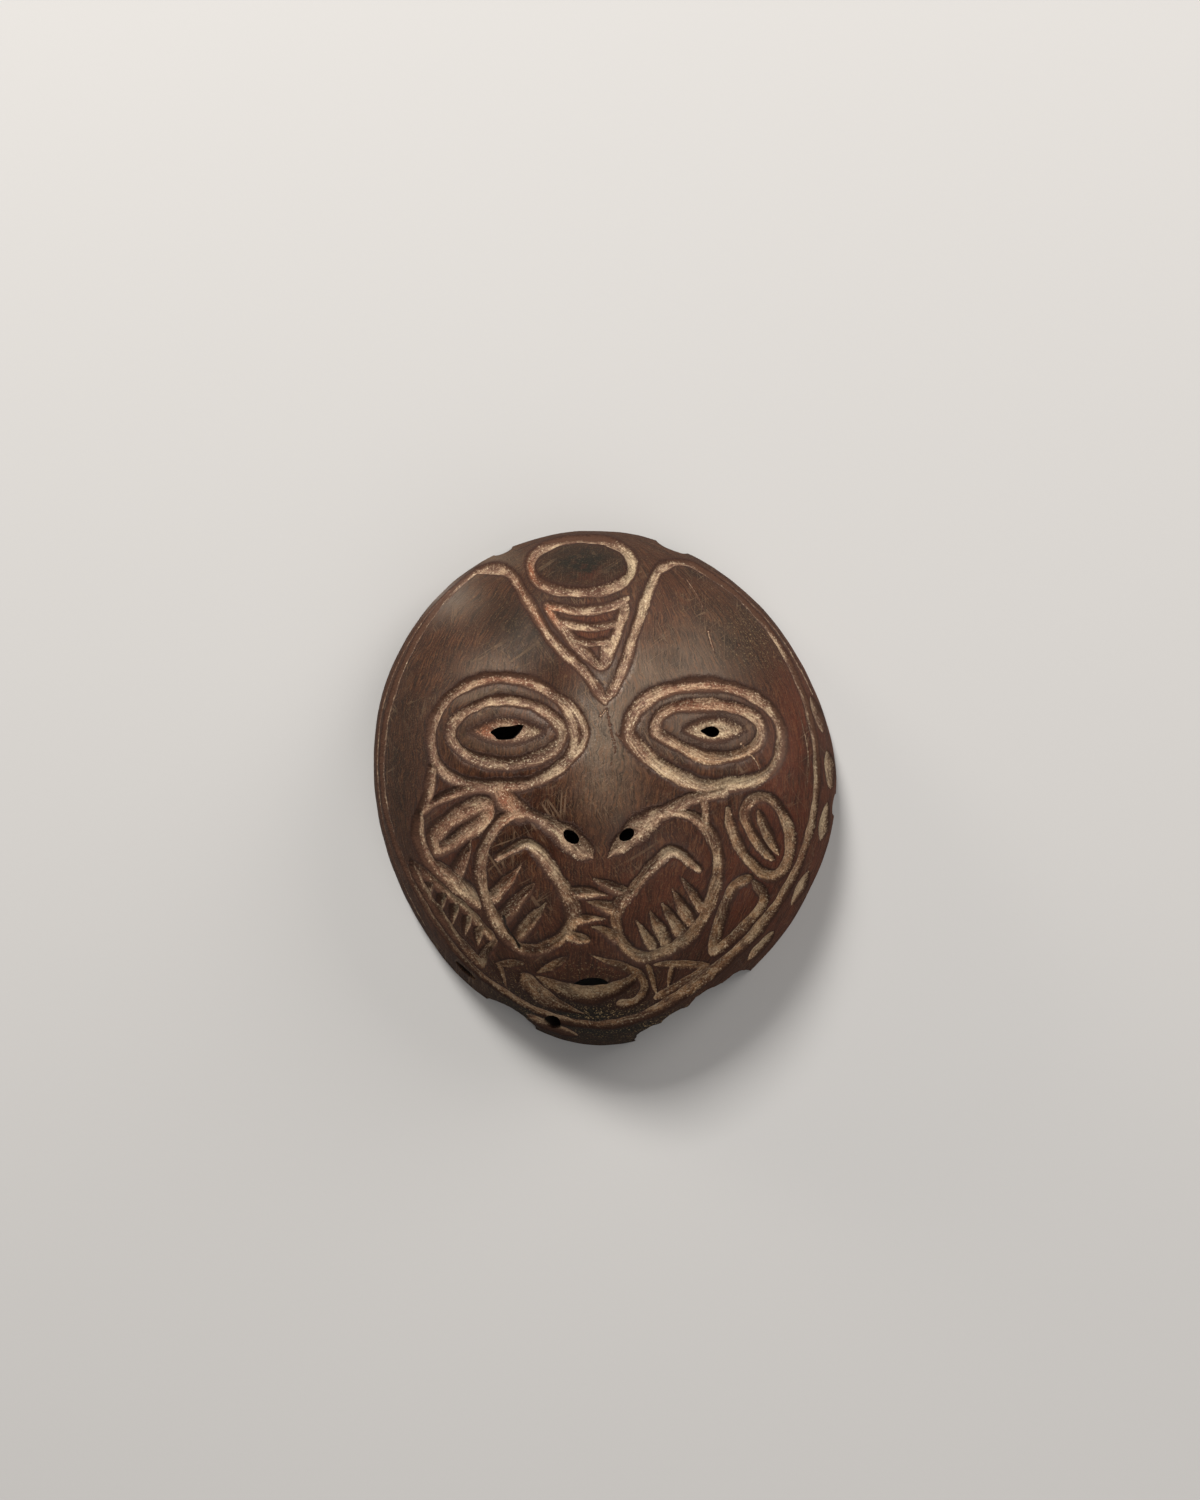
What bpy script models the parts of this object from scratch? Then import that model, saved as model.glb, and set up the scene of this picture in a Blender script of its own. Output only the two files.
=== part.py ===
"""A mask carved from half a coconut shell, lying on its sawn rim with the face up.

Metres. +Z comes out of the face, +Y points to the crown and +X to the viewer's right.
The origin is under the middle of the rim. Left and right are the viewer's.

The carving is drawn on the face as seen from the front, in millimetres of a drawing that is
116 wide and 129 high, and every drawn point is then laid on the domed outer face.
"""

import math

import bmesh
import bpy
from mathutils import Matrix, Vector

# The shell
MASK_WIDTH = 0.116
MASK_HEIGHT = 0.129
MASK_DEPTH = 0.048
SHELL_WALL = 0.004
RIM_TILT = math.radians(82.0)  # how far the wall has turned from the face when it meets the rim
NOSE_RISE = 0.0014

# The gouge
GROOVE_DEPTH = 0.0011
NARROWEST_CUT = 0.0006
CUT_PROPORTION = 0.45  # the deepest a narrow groove gets, as a share of its width

# The openings
EYE_DISH_DEPTH = 0.0014
NOSTRIL_LENGTH = 0.0046
NOSTRIL_WIDTH = 0.0030
MOUTH_LENGTH = 0.0080
MOUTH_HEIGHT = 0.0022
LASHING_HOLE = 0.0040
LASHING_SLOT_LENGTH = 0.0068
LASHING_SLOT_WIDTH = 0.0024

# How finely the solid is faceted
SHELL_SEGMENTS = 66
SHELL_RINGS = 12
CAVITY_SEGMENTS = 36
CAVITY_RINGS = 8
LONGEST_STEP = 6.5  # drawn millimetres between two rings of a gouge where it runs straight
SHORTEST_STEP = 2.2  # and where it turns by more than SHARPEST_TURN
SHARPEST_TURN = math.radians(26)
CUT_MARGIN = 0.002  # how far a cutter runs past what it cuts

# The drawing's outline: how far the rim lies from the middle, every 30 degrees from the viewer's
# right round by the crown, and where the border line runs as a share of that.
OUTLINE_REACH = (58.0, 58.1, 61.1, 64.5, 64.4, 61.2, 57.5, 57.0, 60.9, 65.1, 59.8, 57.6)
BORDER_SHARE = (0.912, 0.950, 0.966, 0.960, 0.978, 0.957, 0.961, 0.940, 0.930, 0.915, 0.893, 0.903)

# The lines that follow the rim, as wide as they look from the front, and the leaves' azimuths
BORDER_LINE = 1.6
THIN_LINE = 0.5
BORDER_LEAVES = (-45.5, -27.5, -10.0, 5.0, 20.0)

# The nose is a low swelling: its middle, its spread sideways, upwards and downwards
NOSE_MIDDLE = (-1.0, -6.0)
NOSE_SPREAD = (9.0, 13.0, 5.5)

# Chips out of the rim: azimuth in degrees, then width along the rim and height above it, in metres
RIM_CHIPS = (
    (246.5, 0.0140, 0.0085),
    (281.5, 0.0110, 0.0100),
    (288.0, 0.0150, 0.0115),
    (296.0, 0.0160, 0.0125),
    (302.5, 0.0110, 0.0100),
    (74.5, 0.0080, 0.0050),
    (113.0, 0.0050, 0.0040),
    (355.5, 0.0055, 0.0042),
)
CHIP_REACH = 1.4  # half of what a chip takes out across the wall, in wall thicknesses


def mix(a, b, share):
    return a + (b - a) * share


def spline(values, place, closed=True):
    """Catmull-Rom through values, which are numbers or vectors, at a place counted in values."""
    count = len(values)
    start = min(int(place), count - 1)
    if closed:
        a, b, c, d = (values[(start + k) % count] for k in (-1, 0, 1, 2))
    else:
        a, b, c, d = (values[min(max(start + k, 0), count - 1)] for k in (-1, 0, 1, 2))
    t = place - start
    return b + ((c - a) + ((2 * a - 5 * b + 4 * c - d) + (3 * b - a - 3 * c + d) * t) * t) * (t / 2)


def around(values, azimuth):
    """Reads a ring of evenly spaced values at an azimuth in radians."""
    return spline(values, azimuth / math.tau % 1.0 * len(values))


def outline(azimuth):
    """The drawn point of the rim at an azimuth."""
    reach = around(OUTLINE_REACH, azimuth)
    return Vector((reach * math.cos(azimuth), reach * math.sin(azimuth)))


def drawn_centre():
    """The middle of the drawn outline's bounding box, which is laid on the origin."""
    rim = [outline(math.tau * step / 720) for step in range(720)]
    return Vector([(max(p[axis] for p in rim) + min(p[axis] for p in rim)) / 2 for axis in (0, 1)])


def drawn_extent():
    """The drawn outline's own width and height."""
    rim = [outline(math.tau * step / 720) for step in range(720)]
    return [max(p[axis] for p in rim) - min(p[axis] for p in rim) for axis in (0, 1)]


DRAWN_CENTRE = drawn_centre()
TO_METRES = [size / extent for size, extent in zip((MASK_WIDTH, MASK_HEIGHT), drawn_extent())]


def laid_out(point):
    """Turns a drawn point into metres on the face plane."""
    return Vector([(point[axis] - DRAWN_CENTRE[axis]) * TO_METRES[axis] for axis in (0, 1)])


def dome(tilt, depth):
    """Height above the rim where the wall has turned by tilt."""
    return depth * (math.cos(tilt) - math.cos(RIM_TILT)) / (1 - math.cos(RIM_TILT))


def nose(x, y):
    """How far the nose stands out of the dome at a drawn point."""
    across = (x - NOSE_MIDDLE[0]) / NOSE_SPREAD[0]
    along = (y - NOSE_MIDDLE[1]) / (NOSE_SPREAD[1] if y > NOSE_MIDDLE[1] else NOSE_SPREAD[2])
    return NOSE_RISE * math.exp(-across * across - along * along)


def shell_point(azimuth, tilt, inset=0.0):
    """A point of the outer face, or of a face that lies inset inside it."""
    share = math.sin(tilt) / math.sin(RIM_TILT)
    drawn = outline(azimuth)
    rim = laid_out(drawn)
    flat = rim * (1 - inset / rim.length) * share
    swelling = nose(drawn.x * share, drawn.y * share)
    return Vector((flat.x, flat.y, dome(tilt, MASK_DEPTH - inset) + swelling))


def on_face(x, y):
    """The point of the outer face above a drawn point."""
    azimuth = math.atan2(y, x)
    share = min(math.hypot(x, y) / outline(azimuth).length, 1.0)
    return shell_point(azimuth, math.asin(share * math.sin(RIM_TILT)))


def face_normal(x, y, step=0.3):
    across = on_face(x + step, y) - on_face(x - step, y)
    along = on_face(x, y + step) - on_face(x, y - step)
    return across.cross(along).normalized()


# Gouge strokes. Each is a list of drawn points, a width in drawn millimetres, and how the width
# runs along it: even, a tooth that is pointed at its end, a leaf pointed at both ends, or a wing.
STROKES = []


def even(share):
    return 0.75 if share in (0.0, 1.0) else 1.0


def tooth(share):
    return max(1.0 - share ** 2.5, 0.12)


def leaf(share):
    return max(math.sin(math.pi * share) ** 0.6, 0.12)


def wing(share):
    swelling = math.exp(-(((share - 0.62) / 0.24) ** 2))
    return (0.42 + 0.58 * swelling) * (1.0 if share < 0.85 else max(1.0 - (share - 0.85) / 0.17, 0.15))


def cut(width, along, *points, closed=False):
    STROKES.append((width, along, [Vector(p) for p in points], closed))


def cut_ring(width, centre, reaches, fullness, steps=24):
    """An oval drawn by its reach left, right, up and down. Fullness says how square each corner is:
    upper left, upper right, lower left, lower right; 2 is an ellipse and 1 a straight line."""
    left, right, up, down = reaches
    points = []
    for step in range(steps):
        turn = math.tau * step / steps
        cosine, sine = math.cos(turn), math.sin(turn)
        corner = fullness[(0 if sine > 0 else 2) + (1 if cosine > 0 else 0)]
        x = abs(cosine) ** (2 / corner) * (right if cosine > 0 else -left)
        y = abs(sine) ** (2 / corner) * (up if sine > 0 else -down)
        points.append((centre[0] + x, centre[1] + y))
    cut(width, even, *points, closed=True)


def cut_row(width, along, first, last, count, run):
    """A row of like cuts: first and last are where they start, and run goes from start to tip."""
    for step in range(count):
        share = step / max(count - 1, 1)
        start = (mix(first[0], last[0], share), mix(first[1], last[1], share))
        cut(width, along, start, (start[0] + run[0], start[1] + run[1]))


def draw_eyes():
    cut_ring(2.6, (-25.5, 12.75), (17.5, 19.75, 14.75, 12.25), (2.0, 2.0, 2.7, 2.0))
    cut_ring(2.6, (-25.0, 13.5), (13.25, 14.5, 8.5, 7.5), (1.8, 1.8, 1.9, 1.9), 20)
    cut_ring(2.8, (25.0, 13.5), (19.25, 19.0, 12.25, 13.0), (2.2, 1.9, 1.35, 2.8))
    cut_ring(2.9, (25.75, 14.25), (13.25, 13.25, 6.5, 6.75), (2.8, 2.1, 1.2, 2.4), 20)


def draw_brow():
    """The disc on the crown, the long vee between the eyes and the stepped triangle in it."""
    cut_ring(2.4, (-5.0, 55.75), (13.5, 12.0, 6.75, 7.0), (2.0, 2.0, 2.4, 2.1))
    cut(2.4, even, (-31.75, 54.5), (-26.25, 55.0), (-23.0, 53.0), (-20.0, 48.25), (-15.0, 39.75),
        (-11.25, 34.75), (-5.75, 29.75), (0.0, 21.5))
    cut(2.4, even, (0.25, 22.0), (3.25, 26.5), (6.0, 34.25), (8.75, 43.0), (11.5, 50.25),
        (13.5, 54.5), (17.5, 56.5))
    cut(2.5, even, (-14.5, 45.25), (-8.0, 36.75), (-1.25, 30.0))
    cut(2.6, even, (-0.5, 30.0), (2.25, 36.75), (5.25, 45.75))
    cut(2.1, even, (-14.5, 45.75), (-8.75, 44.5), (-3.75, 44.25), (1.25, 45.25), (5.75, 47.25))
    cut(2.0, even, (-11.25, 41.5), (-3.75, 40.0), (3.25, 41.25))
    cut(1.8, even, (-7.25, 37.0), (-3.75, 36.0), (0.75, 36.75))


def draw_nose():
    """The two nostril wings and the lines that tie them to the eyes."""
    cut(5.6, wing, (-20.0, -6.0), (-15.0, -8.5), (-8.5, -12.75), (-2.75, -17.5))
    cut(5.4, wing, (21.25, -2.25), (15.0, -5.25), (10.25, -8.5), (5.75, -12.25), (0.75, -17.25))
    cut(2.4, even, (-24.5, -0.25), (-22.5, -3.5), (-20.5, -6.25))
    cut(2.4, even, (26.75, -0.75), (20.75, -2.5))
    cut(2.0, even, (24.5, -2.5), (25.25, -8.75))


def draw_jaws():
    """The two toothed loops on either side of the mouth, and the whiskers between them."""
    cut(2.6, even, (-20.0, -6.25), (-25.0, -7.75), (-28.75, -12.25), (-31.0, -20.0), (-29.25, -28.75),
        (-26.5, -34.0), (-23.5, -38.25), (-20.0, -40.5), (-15.0, -40.0), (-10.5, -37.0),
        (-8.75, -32.75), (-9.25, -28.5), (-14.25, -19.75), (-17.25, -15.5), (-20.0, -13.75),
        (-26.5, -17.25))
    cut(2.7, even, (15.75, -6.0), (20.0, -6.5), (24.25, -8.75), (27.0, -13.25), (28.25, -19.5),
        (26.0, -29.0), (23.0, -34.75), (18.75, -39.0), (13.75, -41.5), (9.25, -42.5), (5.0, -39.5),
        (2.75, -34.25), (3.25, -29.5), (5.75, -26.5), (13.75, -17.5), (17.5, -15.75), (23.25, -20.25))
    cut_row(2.2, tooth, (-28.25, -27.75), (-21.75, -37.5), 3, (7.6, 8.6))
    cut_row(2.2, tooth, (24.5, -30.75), (13.0, -40.75), 5, (-5.4, 8.4))
    cut(2.2, tooth, (-9.75, -26.25), (-4.0, -26.0), (1.0, -26.75))
    cut(1.9, tooth, (-8.75, -32.75), (0.25, -32.5))
    cut(2.0, leaf, (-11.0, -36.0), (-7.5, -37.25), (-3.5, -38.0))
    cut(2.1, tooth, (5.25, -26.25), (1.0, -24.5), (-3.5, -22.25))
    cut(2.4, tooth, (3.75, -31.25), (0.0, -29.5), (-4.5, -28.25))
    cut(2.2, tooth, (3.25, -37.75), (0.0, -35.75), (-3.5, -34.5))


def draw_viewer_left_cheek():
    """The fish-bone panel beside the eye and the saw band below it."""
    cut(1.7, even, (-42.75, 5.5), (-43.75, -1.5), (-45.5, -6.5))
    cut(2.1, even, (-45.5, -5.5), (-38.75, -3.0), (-32.0, 0.0))
    cut(2.1, even, (-45.75, -6.25), (-46.0, -12.0), (-43.75, -17.75), (-40.0, -22.0), (-31.75, -29.75))
    cut(2.3, leaf, (-42.75, -13.75), (-37.5, -8.75), (-31.75, -4.75), (-27.0, -4.0))
    cut(2.5, leaf, (-41.75, -16.5), (-36.25, -12.75), (-31.75, -9.25), (-27.5, -4.5))
    cut(1.9, tooth, (-36.5, -22.75), (-31.75, -13.75))
    cut(2.0, even, (-48.0, -18.75), (-41.25, -24.75), (-35.0, -30.25), (-27.0, -38.5))
    cut(1.9, even, (-48.0, -19.75), (-44.5, -26.5), (-40.5, -32.75), (-35.75, -39.0), (-30.5, -45.0))
    cut(1.8, even, (-27.0, -38.5), (-29.75, -41.5), (-30.5, -45.0))
    cut_row(1.5, tooth, (-43.5, -24.0), (-31.0, -35.0), 5, (-1.0, -4.4))


def draw_viewer_right_cheek():
    """The spiral fruit, the pod below it and the gouged leaves in the border."""
    cut(2.3, even, (30.5, -5.25), (31.5, -10.5), (34.5, -16.25), (38.0, -20.5), (41.75, -22.25),
        (45.0, -19.75), (46.25, -14.0), (44.75, -7.5), (41.25, -3.0), (37.25, -2.5), (34.75, -5.5),
        (35.75, -9.75), (38.5, -14.5), (41.5, -17.75))
    cut(2.3, leaf, (38.25, -5.75), (40.5, -11.0), (43.0, -16.25))
    cut(2.3, even, (26.75, -42.0), (27.25, -34.5), (29.25, -28.75), (32.0, -24.5), (36.0, -22.5))
    cut(2.0, even, (37.5, -23.75), (38.75, -27.75), (37.0, -32.75), (32.5, -37.25), (27.25, -42.0))


def draw_mouth():
    cut(2.0, tooth, (9.5, -46.75), (2.5, -44.0), (-3.75, -41.75))
    cut(3.6, leaf, (-17.0, -47.25), (-11.25, -50.0), (-3.75, -51.5), (3.25, -50.0), (9.0, -46.25))
    cut(2.6, even, (-20.25, -47.25), (-16.75, -51.0), (-11.25, -54.5), (-5.0, -56.75))
    cut(2.0, even, (8.75, -46.75), (10.0, -50.5), (7.75, -53.5), (3.5, -54.25))
    cut(1.8, leaf, (-27.25, -44.0), (-19.75, -44.0))
    cut(1.2, tooth, (-26.25, -44.5), (-24.25, -50.5))
    cut(1.9, leaf, (-17.0, -46.5), (-9.0, -42.25))
    cut(2.0, leaf, (12.0, -44.25), (26.0, -44.25))
    cut(1.6, tooth, (10.75, -44.5), (13.25, -52.5))
    cut(1.3, tooth, (16.75, -45.0), (15.75, -50.5))
    cut(2.0, even, (25.75, -44.75), (21.25, -48.25), (12.75, -52.75))
    cut(2.2, leaf, (-19.5, -57.0), (-13.75, -60.0), (-6.5, -62.5))


def along_rim(first, last, share, steps):
    """Drawn points that follow the outline from one azimuth to another, in degrees."""
    points = []
    for step in range(steps + 1):
        azimuth = math.radians(mix(first, last, step / steps))
        points.append(outline(azimuth) * (share or around(BORDER_SHARE, azimuth)))
    return points


def draw_border():
    """The line round the face, the thin one beside it and the leaves gouged between it and the rim."""
    cut(BORDER_LINE, even, *along_rim(121.0, 426.0, None, 60))
    cut(THIN_LINE, even, *along_rim(128.0, 218.0, 0.985, 16))
    cut(THIN_LINE, even, *along_rim(24.0, 64.0, 0.985, 8))
    for middle in BORDER_LEAVES:
        cut(1.7, leaf, *along_rim(middle - 5.0, middle + 5.0, 0.958, 2))


def resampled(points, closed):
    """Points along the smooth curve through the drawn ones, closer where it turns, and how far
    along the curve each lies as a share of its length."""
    spans = len(points) if closed else len(points) - 1
    fine = [spline(points, k / 12, closed) for k in range(spans * 12 + 1)]
    length = sum((b - a).length for a, b in zip(fine, fine[1:]))
    longest = min(LONGEST_STEP, length * 0.49)
    kept = [(fine[0], 0.0)]
    gone = step = turned = 0.0
    for before, here, after in zip(fine, fine[1:], fine[2:]):
        gone += (here - before).length
        step += (here - before).length
        turned += (here - before).angle(after - here, 0.0)
        if step >= longest or (turned >= SHARPEST_TURN and step >= SHORTEST_STEP):
            kept.append((here, gone / length))
            step = turned = 0.0
    if step < SHORTEST_STEP * 0.6 and len(kept) > 2:
        kept.pop()
    if not closed:
        kept.append((fine[-1], 1.0))
    return kept


def new_object(name, mesh, collection):
    made = bpy.data.objects.new(name, mesh)
    collection.objects.link(made)
    return made


def as_mesh(curve_object, collection):
    """Replaces a curve object by a closed mesh object, because a curve can't be a cutter."""
    bpy.context.view_layer.update()
    evaluated = curve_object.evaluated_get(bpy.context.evaluated_depsgraph_get())
    mesh = bpy.data.meshes.new_from_object(evaluated)
    name = curve_object.name
    place = curve_object.matrix_world.copy()
    bpy.data.objects.remove(curve_object)
    bm = bmesh.new()
    bm.from_mesh(mesh)
    bmesh.ops.remove_doubles(bm, verts=bm.verts, dist=1e-7)
    bmesh.ops.recalc_face_normals(bm, faces=bm.faces)
    bm.to_mesh(mesh)
    bm.free()
    made = new_object(name, mesh, collection)
    made.matrix_world = place
    return made


def hide_cutter(cutter):
    cutter.hide_render = True
    cutter.display_type = "WIRE"


def dome_solid(name, collection, segments, rings, inset, skirt):
    """Half a globe pressed into the shell's form, closed by a flat bottom or a skirt below it."""
    bm = bmesh.new()
    bmesh.ops.create_uvsphere(bm, u_segments=segments, v_segments=rings * 2, radius=1.0)
    below = [v for v in bm.verts if v.co.z < -0.01]
    bmesh.ops.delete(bm, geom=below, context="VERTS")
    for vert in bm.verts:
        tilt = math.acos(min(max(vert.co.z, 0.0), 1.0)) / (math.pi / 2) * RIM_TILT
        vert.co = shell_point(math.atan2(vert.co.y, vert.co.x), tilt, inset)
    rim = [edge for edge in bm.edges if edge.is_boundary]
    if skirt:
        grown = bmesh.ops.extrude_edge_only(bm, edges=rim)["geom"]
        bmesh.ops.translate(bm, verts=[g for g in grown if isinstance(g, bmesh.types.BMVert)],
                            vec=(0, 0, -skirt))
        rim = [edge for edge in bm.edges if edge.is_boundary]
    bmesh.ops.edgeloop_fill(bm, edges=rim)
    bmesh.ops.recalc_face_normals(bm, faces=bm.faces)
    mesh = bpy.data.meshes.new(name)
    bm.to_mesh(mesh)
    bm.free()
    return new_object(name, mesh, collection)


def gouge(name, stroke, collection):
    """One stroke of the gouge: a tube along the face, sunk so deep that it leaves a round groove.
    Its width is the drawn one as seen from the front, so it is wider where the face falls away."""
    width, along, points, closed = stroke
    path = resampled(points, closed)
    curve = bpy.data.curves.new(name, "CURVE")
    curve.dimensions = "3D"
    curve.bevel_resolution = 2 if width > 3.0 else 1
    curve.bevel_depth = 1.0
    curve.use_fill_caps = not closed
    line = curve.splines.new("POLY")
    line.points.add(len(path) - 1)
    line.use_cyclic_u = closed
    for k, (point, (drawn, share)) in enumerate(zip(line.points, path)):
        ahead = path[(k + 1) % len(path) if closed else min(k + 1, len(path) - 1)][0]
        behind = path[k - 1 if closed else max(k - 1, 0)][0]
        side = (ahead - behind).orthogonal().normalized() * (width / 2)
        across = (on_face(*(drawn + side)) - on_face(*(drawn - side))).length
        wide = max(across * (1.0 if closed else along(share)), NARROWEST_CUT)
        deep = min(GROOVE_DEPTH, wide * CUT_PROPORTION)
        radius = (wide * wide / 4 + deep * deep) / (2 * deep)
        centre = on_face(drawn.x, drawn.y) + face_normal(drawn.x, drawn.y) * (radius - deep)
        point.co = (*centre, 1.0)
        point.radius = radius
    return as_mesh(new_object(name, curve, collection), collection)


def punch(name, outline_points, place, direction, length, turn, collection):
    """A prism with a flat outline, centred on a place and running along a direction."""
    curve = bpy.data.curves.new(name, "CURVE")
    curve.dimensions = "2D"
    curve.fill_mode = "BOTH"
    curve.extrude = length / 2
    line = curve.splines.new("POLY")
    line.points.add(len(outline_points) - 1)
    line.use_cyclic_u = True
    for point, (x, y) in zip(line.points, outline_points):
        point.co = (x, y, 0.0, 1.0)
    made = new_object(name, curve, collection)
    upright = direction.to_track_quat("Z", "Y").to_matrix().to_4x4()
    made.matrix_world = Matrix.Translation(place) @ upright @ Matrix.Rotation(turn, 4, "Z")
    return as_mesh(made, collection)


def oval(length, width, steps=12):
    return [(length / 2 * math.cos(math.tau * k / steps), width / 2 * math.sin(math.tau * k / steps))
            for k in range(steps)]


def face_punch(name, x, y, outline_points, turn, collection):
    """A hole cut straight back towards the wearer's face."""
    place = on_face(x, y)
    return punch(name, outline_points, place, Vector((0, 0, 1)), 6 * SHELL_WALL, turn, collection)


def wall_punch(name, azimuth, height, outline_points, turn, collection):
    """A hole drilled square to the steep wall, its middle at a height above the rim."""
    tilt = math.acos(height / MASK_DEPTH * (1 - math.cos(RIM_TILT)) + math.cos(RIM_TILT))
    drawn = outline(azimuth) * (math.sin(tilt) / math.sin(RIM_TILT))
    place, direction = on_face(*drawn), face_normal(*drawn)
    return punch(name, outline_points, place, direction, 4 * SHELL_WALL, turn, collection)


# The viewer's left eyehole was hacked open, the right one is a small almond
HACKED_EYEHOLE = ((-4.2, -1.4), (-2.5, 1.0), (-1.2, 1.8), (2.0, 1.9), (3.2, 0.9), (4.2, -0.1),
                  (2.0, -1.3), (-0.5, -1.5), (-3.2, -1.9))
SMALL_EYEHOLE = ((-2.3, 0.1), (-1.4, 1.3), (0.2, 1.5), (1.6, 0.8), (2.6, -0.1), (1.2, -0.9),
                 (-0.2, -1.3), (-1.5, -0.9))
MOUTH_SHAPE = ((-1.0, 0.55), (-0.45, 1.0), (0.4, 1.0), (1.0, 0.45), (0.55, -0.55), (0.0, -1.0),
               (-0.6, -0.7))


def eyehole(shape):
    return [(x * TO_METRES[0], y * TO_METRES[1]) for x, y in shape]


def make_openings(collection):
    dishes = (("left_eye_dish", (-24.75, 14.0), (19.0, 6.4)), ("right_eye_dish", (27.0, 14.5), (15.5, 6.2)))
    for name, (x, y), (length, height) in dishes:
        bm = bmesh.new()
        bmesh.ops.create_uvsphere(bm, u_segments=14, v_segments=8, radius=1.0)
        reach = (length * TO_METRES[0] / 2, height * TO_METRES[1] / 2)
        bmesh.ops.scale(bm, vec=(*reach, EYE_DISH_DEPTH * 1.3), verts=bm.verts)
        mesh = bpy.data.meshes.new(name)
        bm.to_mesh(mesh)
        bm.free()
        dish = new_object(name, mesh, collection)
        normal = face_normal(x, y)
        dish.matrix_world = (Matrix.Translation(on_face(x, y) + normal * EYE_DISH_DEPTH * 0.3)
                             @ normal.to_track_quat("Z", "Y").to_matrix().to_4x4())
    face_punch("left_eyehole", -24.5, 14.0, eyehole(HACKED_EYEHOLE), 0.0, collection)
    face_punch("right_eyehole", 26.5, 14.25, eyehole(SMALL_EYEHOLE), 0.0, collection)
    nostril = oval(NOSTRIL_LENGTH, NOSTRIL_WIDTH)
    face_punch("left_nostril", -8.5, -12.25, nostril, math.radians(-36), collection)
    face_punch("right_nostril", 5.5, -11.75, nostril, math.radians(32), collection)
    mouth = [(x * MOUTH_LENGTH / 2, y * MOUTH_HEIGHT / 2) for x, y in MOUTH_SHAPE]
    face_punch("mouth", -3.25, -49.25, mouth, 0.0, collection)
    wall_punch("lashing_hole", math.radians(257.6), 0.0115, oval(LASHING_HOLE, LASHING_HOLE, 10),
               0.0, collection)
    wall_punch("lashing_slot", math.radians(233.0), 0.0085,
               oval(LASHING_SLOT_LENGTH, LASHING_SLOT_WIDTH, 10), math.radians(12), collection)


def make_chips(collection):
    """Lumps broken out of the rim, each square to the wall and centred below the rim's plane."""
    for number, (azimuth, width, height) in enumerate(RIM_CHIPS):
        turn = math.radians(azimuth)
        bm = bmesh.new()
        bmesh.ops.create_icosphere(bm, subdivisions=2, radius=1.0)
        reach = SHELL_WALL * CHIP_REACH
        bmesh.ops.scale(bm, vec=(reach, width * 0.55, height * 1.1), verts=bm.verts)
        mesh = bpy.data.meshes.new(f"rim_chip_{number}")
        bm.to_mesh(mesh)
        bm.free()
        chip = new_object(mesh.name, mesh, collection)
        rim = shell_point(turn, RIM_TILT)
        inwards = Vector((rim.x, rim.y, 0)).normalized() * (SHELL_WALL / 2)
        place = rim - inwards - Vector((0, 0, height * 0.1))
        chip.matrix_world = Matrix.Translation(place) @ Matrix.Rotation(math.atan2(rim.y, rim.x), 4, "Z")


def shell_material():
    material = bpy.data.materials.new("polished coconut shell")
    material.use_nodes = True
    shader = material.node_tree.nodes["Principled BSDF"]
    shader.inputs["Base Color"].default_value = (0.055, 0.028, 0.018, 1.0)
    shader.inputs["Roughness"].default_value = 0.42
    shader.inputs["Metallic"].default_value = 0.0
    return material


def carve_with(body, cutter=None, cutters=None):
    modifier = body.modifiers.new("carve", "BOOLEAN")
    modifier.operation = "DIFFERENCE"
    modifier.solver = "EXACT"
    if cutters:
        modifier.operand_type = "COLLECTION"
        modifier.collection = cutters
    else:
        modifier.object = cutter


def main():
    for old in list(bpy.data.objects):
        bpy.data.objects.remove(old)
    part = bpy.data.collections.new("coconut shell mask")
    hollowing = bpy.data.collections.new("hollowing")
    carving = bpy.data.collections.new("carving")
    for collection in (part, hollowing, carving):
        bpy.context.scene.collection.children.link(collection)

    shell = dome_solid("mask_shell", part, SHELL_SEGMENTS, SHELL_RINGS, 0.0, 0.0)
    cavity = dome_solid("cavity", hollowing, CAVITY_SEGMENTS, CAVITY_RINGS, SHELL_WALL, CUT_MARGIN)

    for draw in (draw_eyes, draw_brow, draw_nose, draw_jaws, draw_viewer_left_cheek,
                 draw_viewer_right_cheek, draw_mouth, draw_border):
        draw()
    for number, stroke in enumerate(STROKES):
        gouge(f"gouge_{number:02d}", stroke, carving)
    make_openings(carving)
    make_chips(carving)
    for cutter in (*hollowing.objects, *carving.objects):
        hide_cutter(cutter)

    carve_with(shell, cutter=cavity)
    carve_with(shell, cutters=carving)
    shell.data.materials.append(shell_material())
    shell.data.shade_smooth()
    shell.data.set_sharp_from_angle(angle=math.radians(30))


main()
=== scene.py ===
# %% [markdown]
# # A mask carved from half a coconut shell
#
# The real mask is one piece: a ripe coconut, husked and sawn across, scraped and polished dark,
# then cut with a small gouge. Pale earth was rubbed into the cuts, and the high places were
# handled until they shone. It lies on its sawn rim with the face up, and we look straight down
# on it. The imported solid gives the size, so everything here is worked out from its box.

import math

import bmesh
import bpy
import numpy as np
from mathutils import Matrix, Vector


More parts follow.
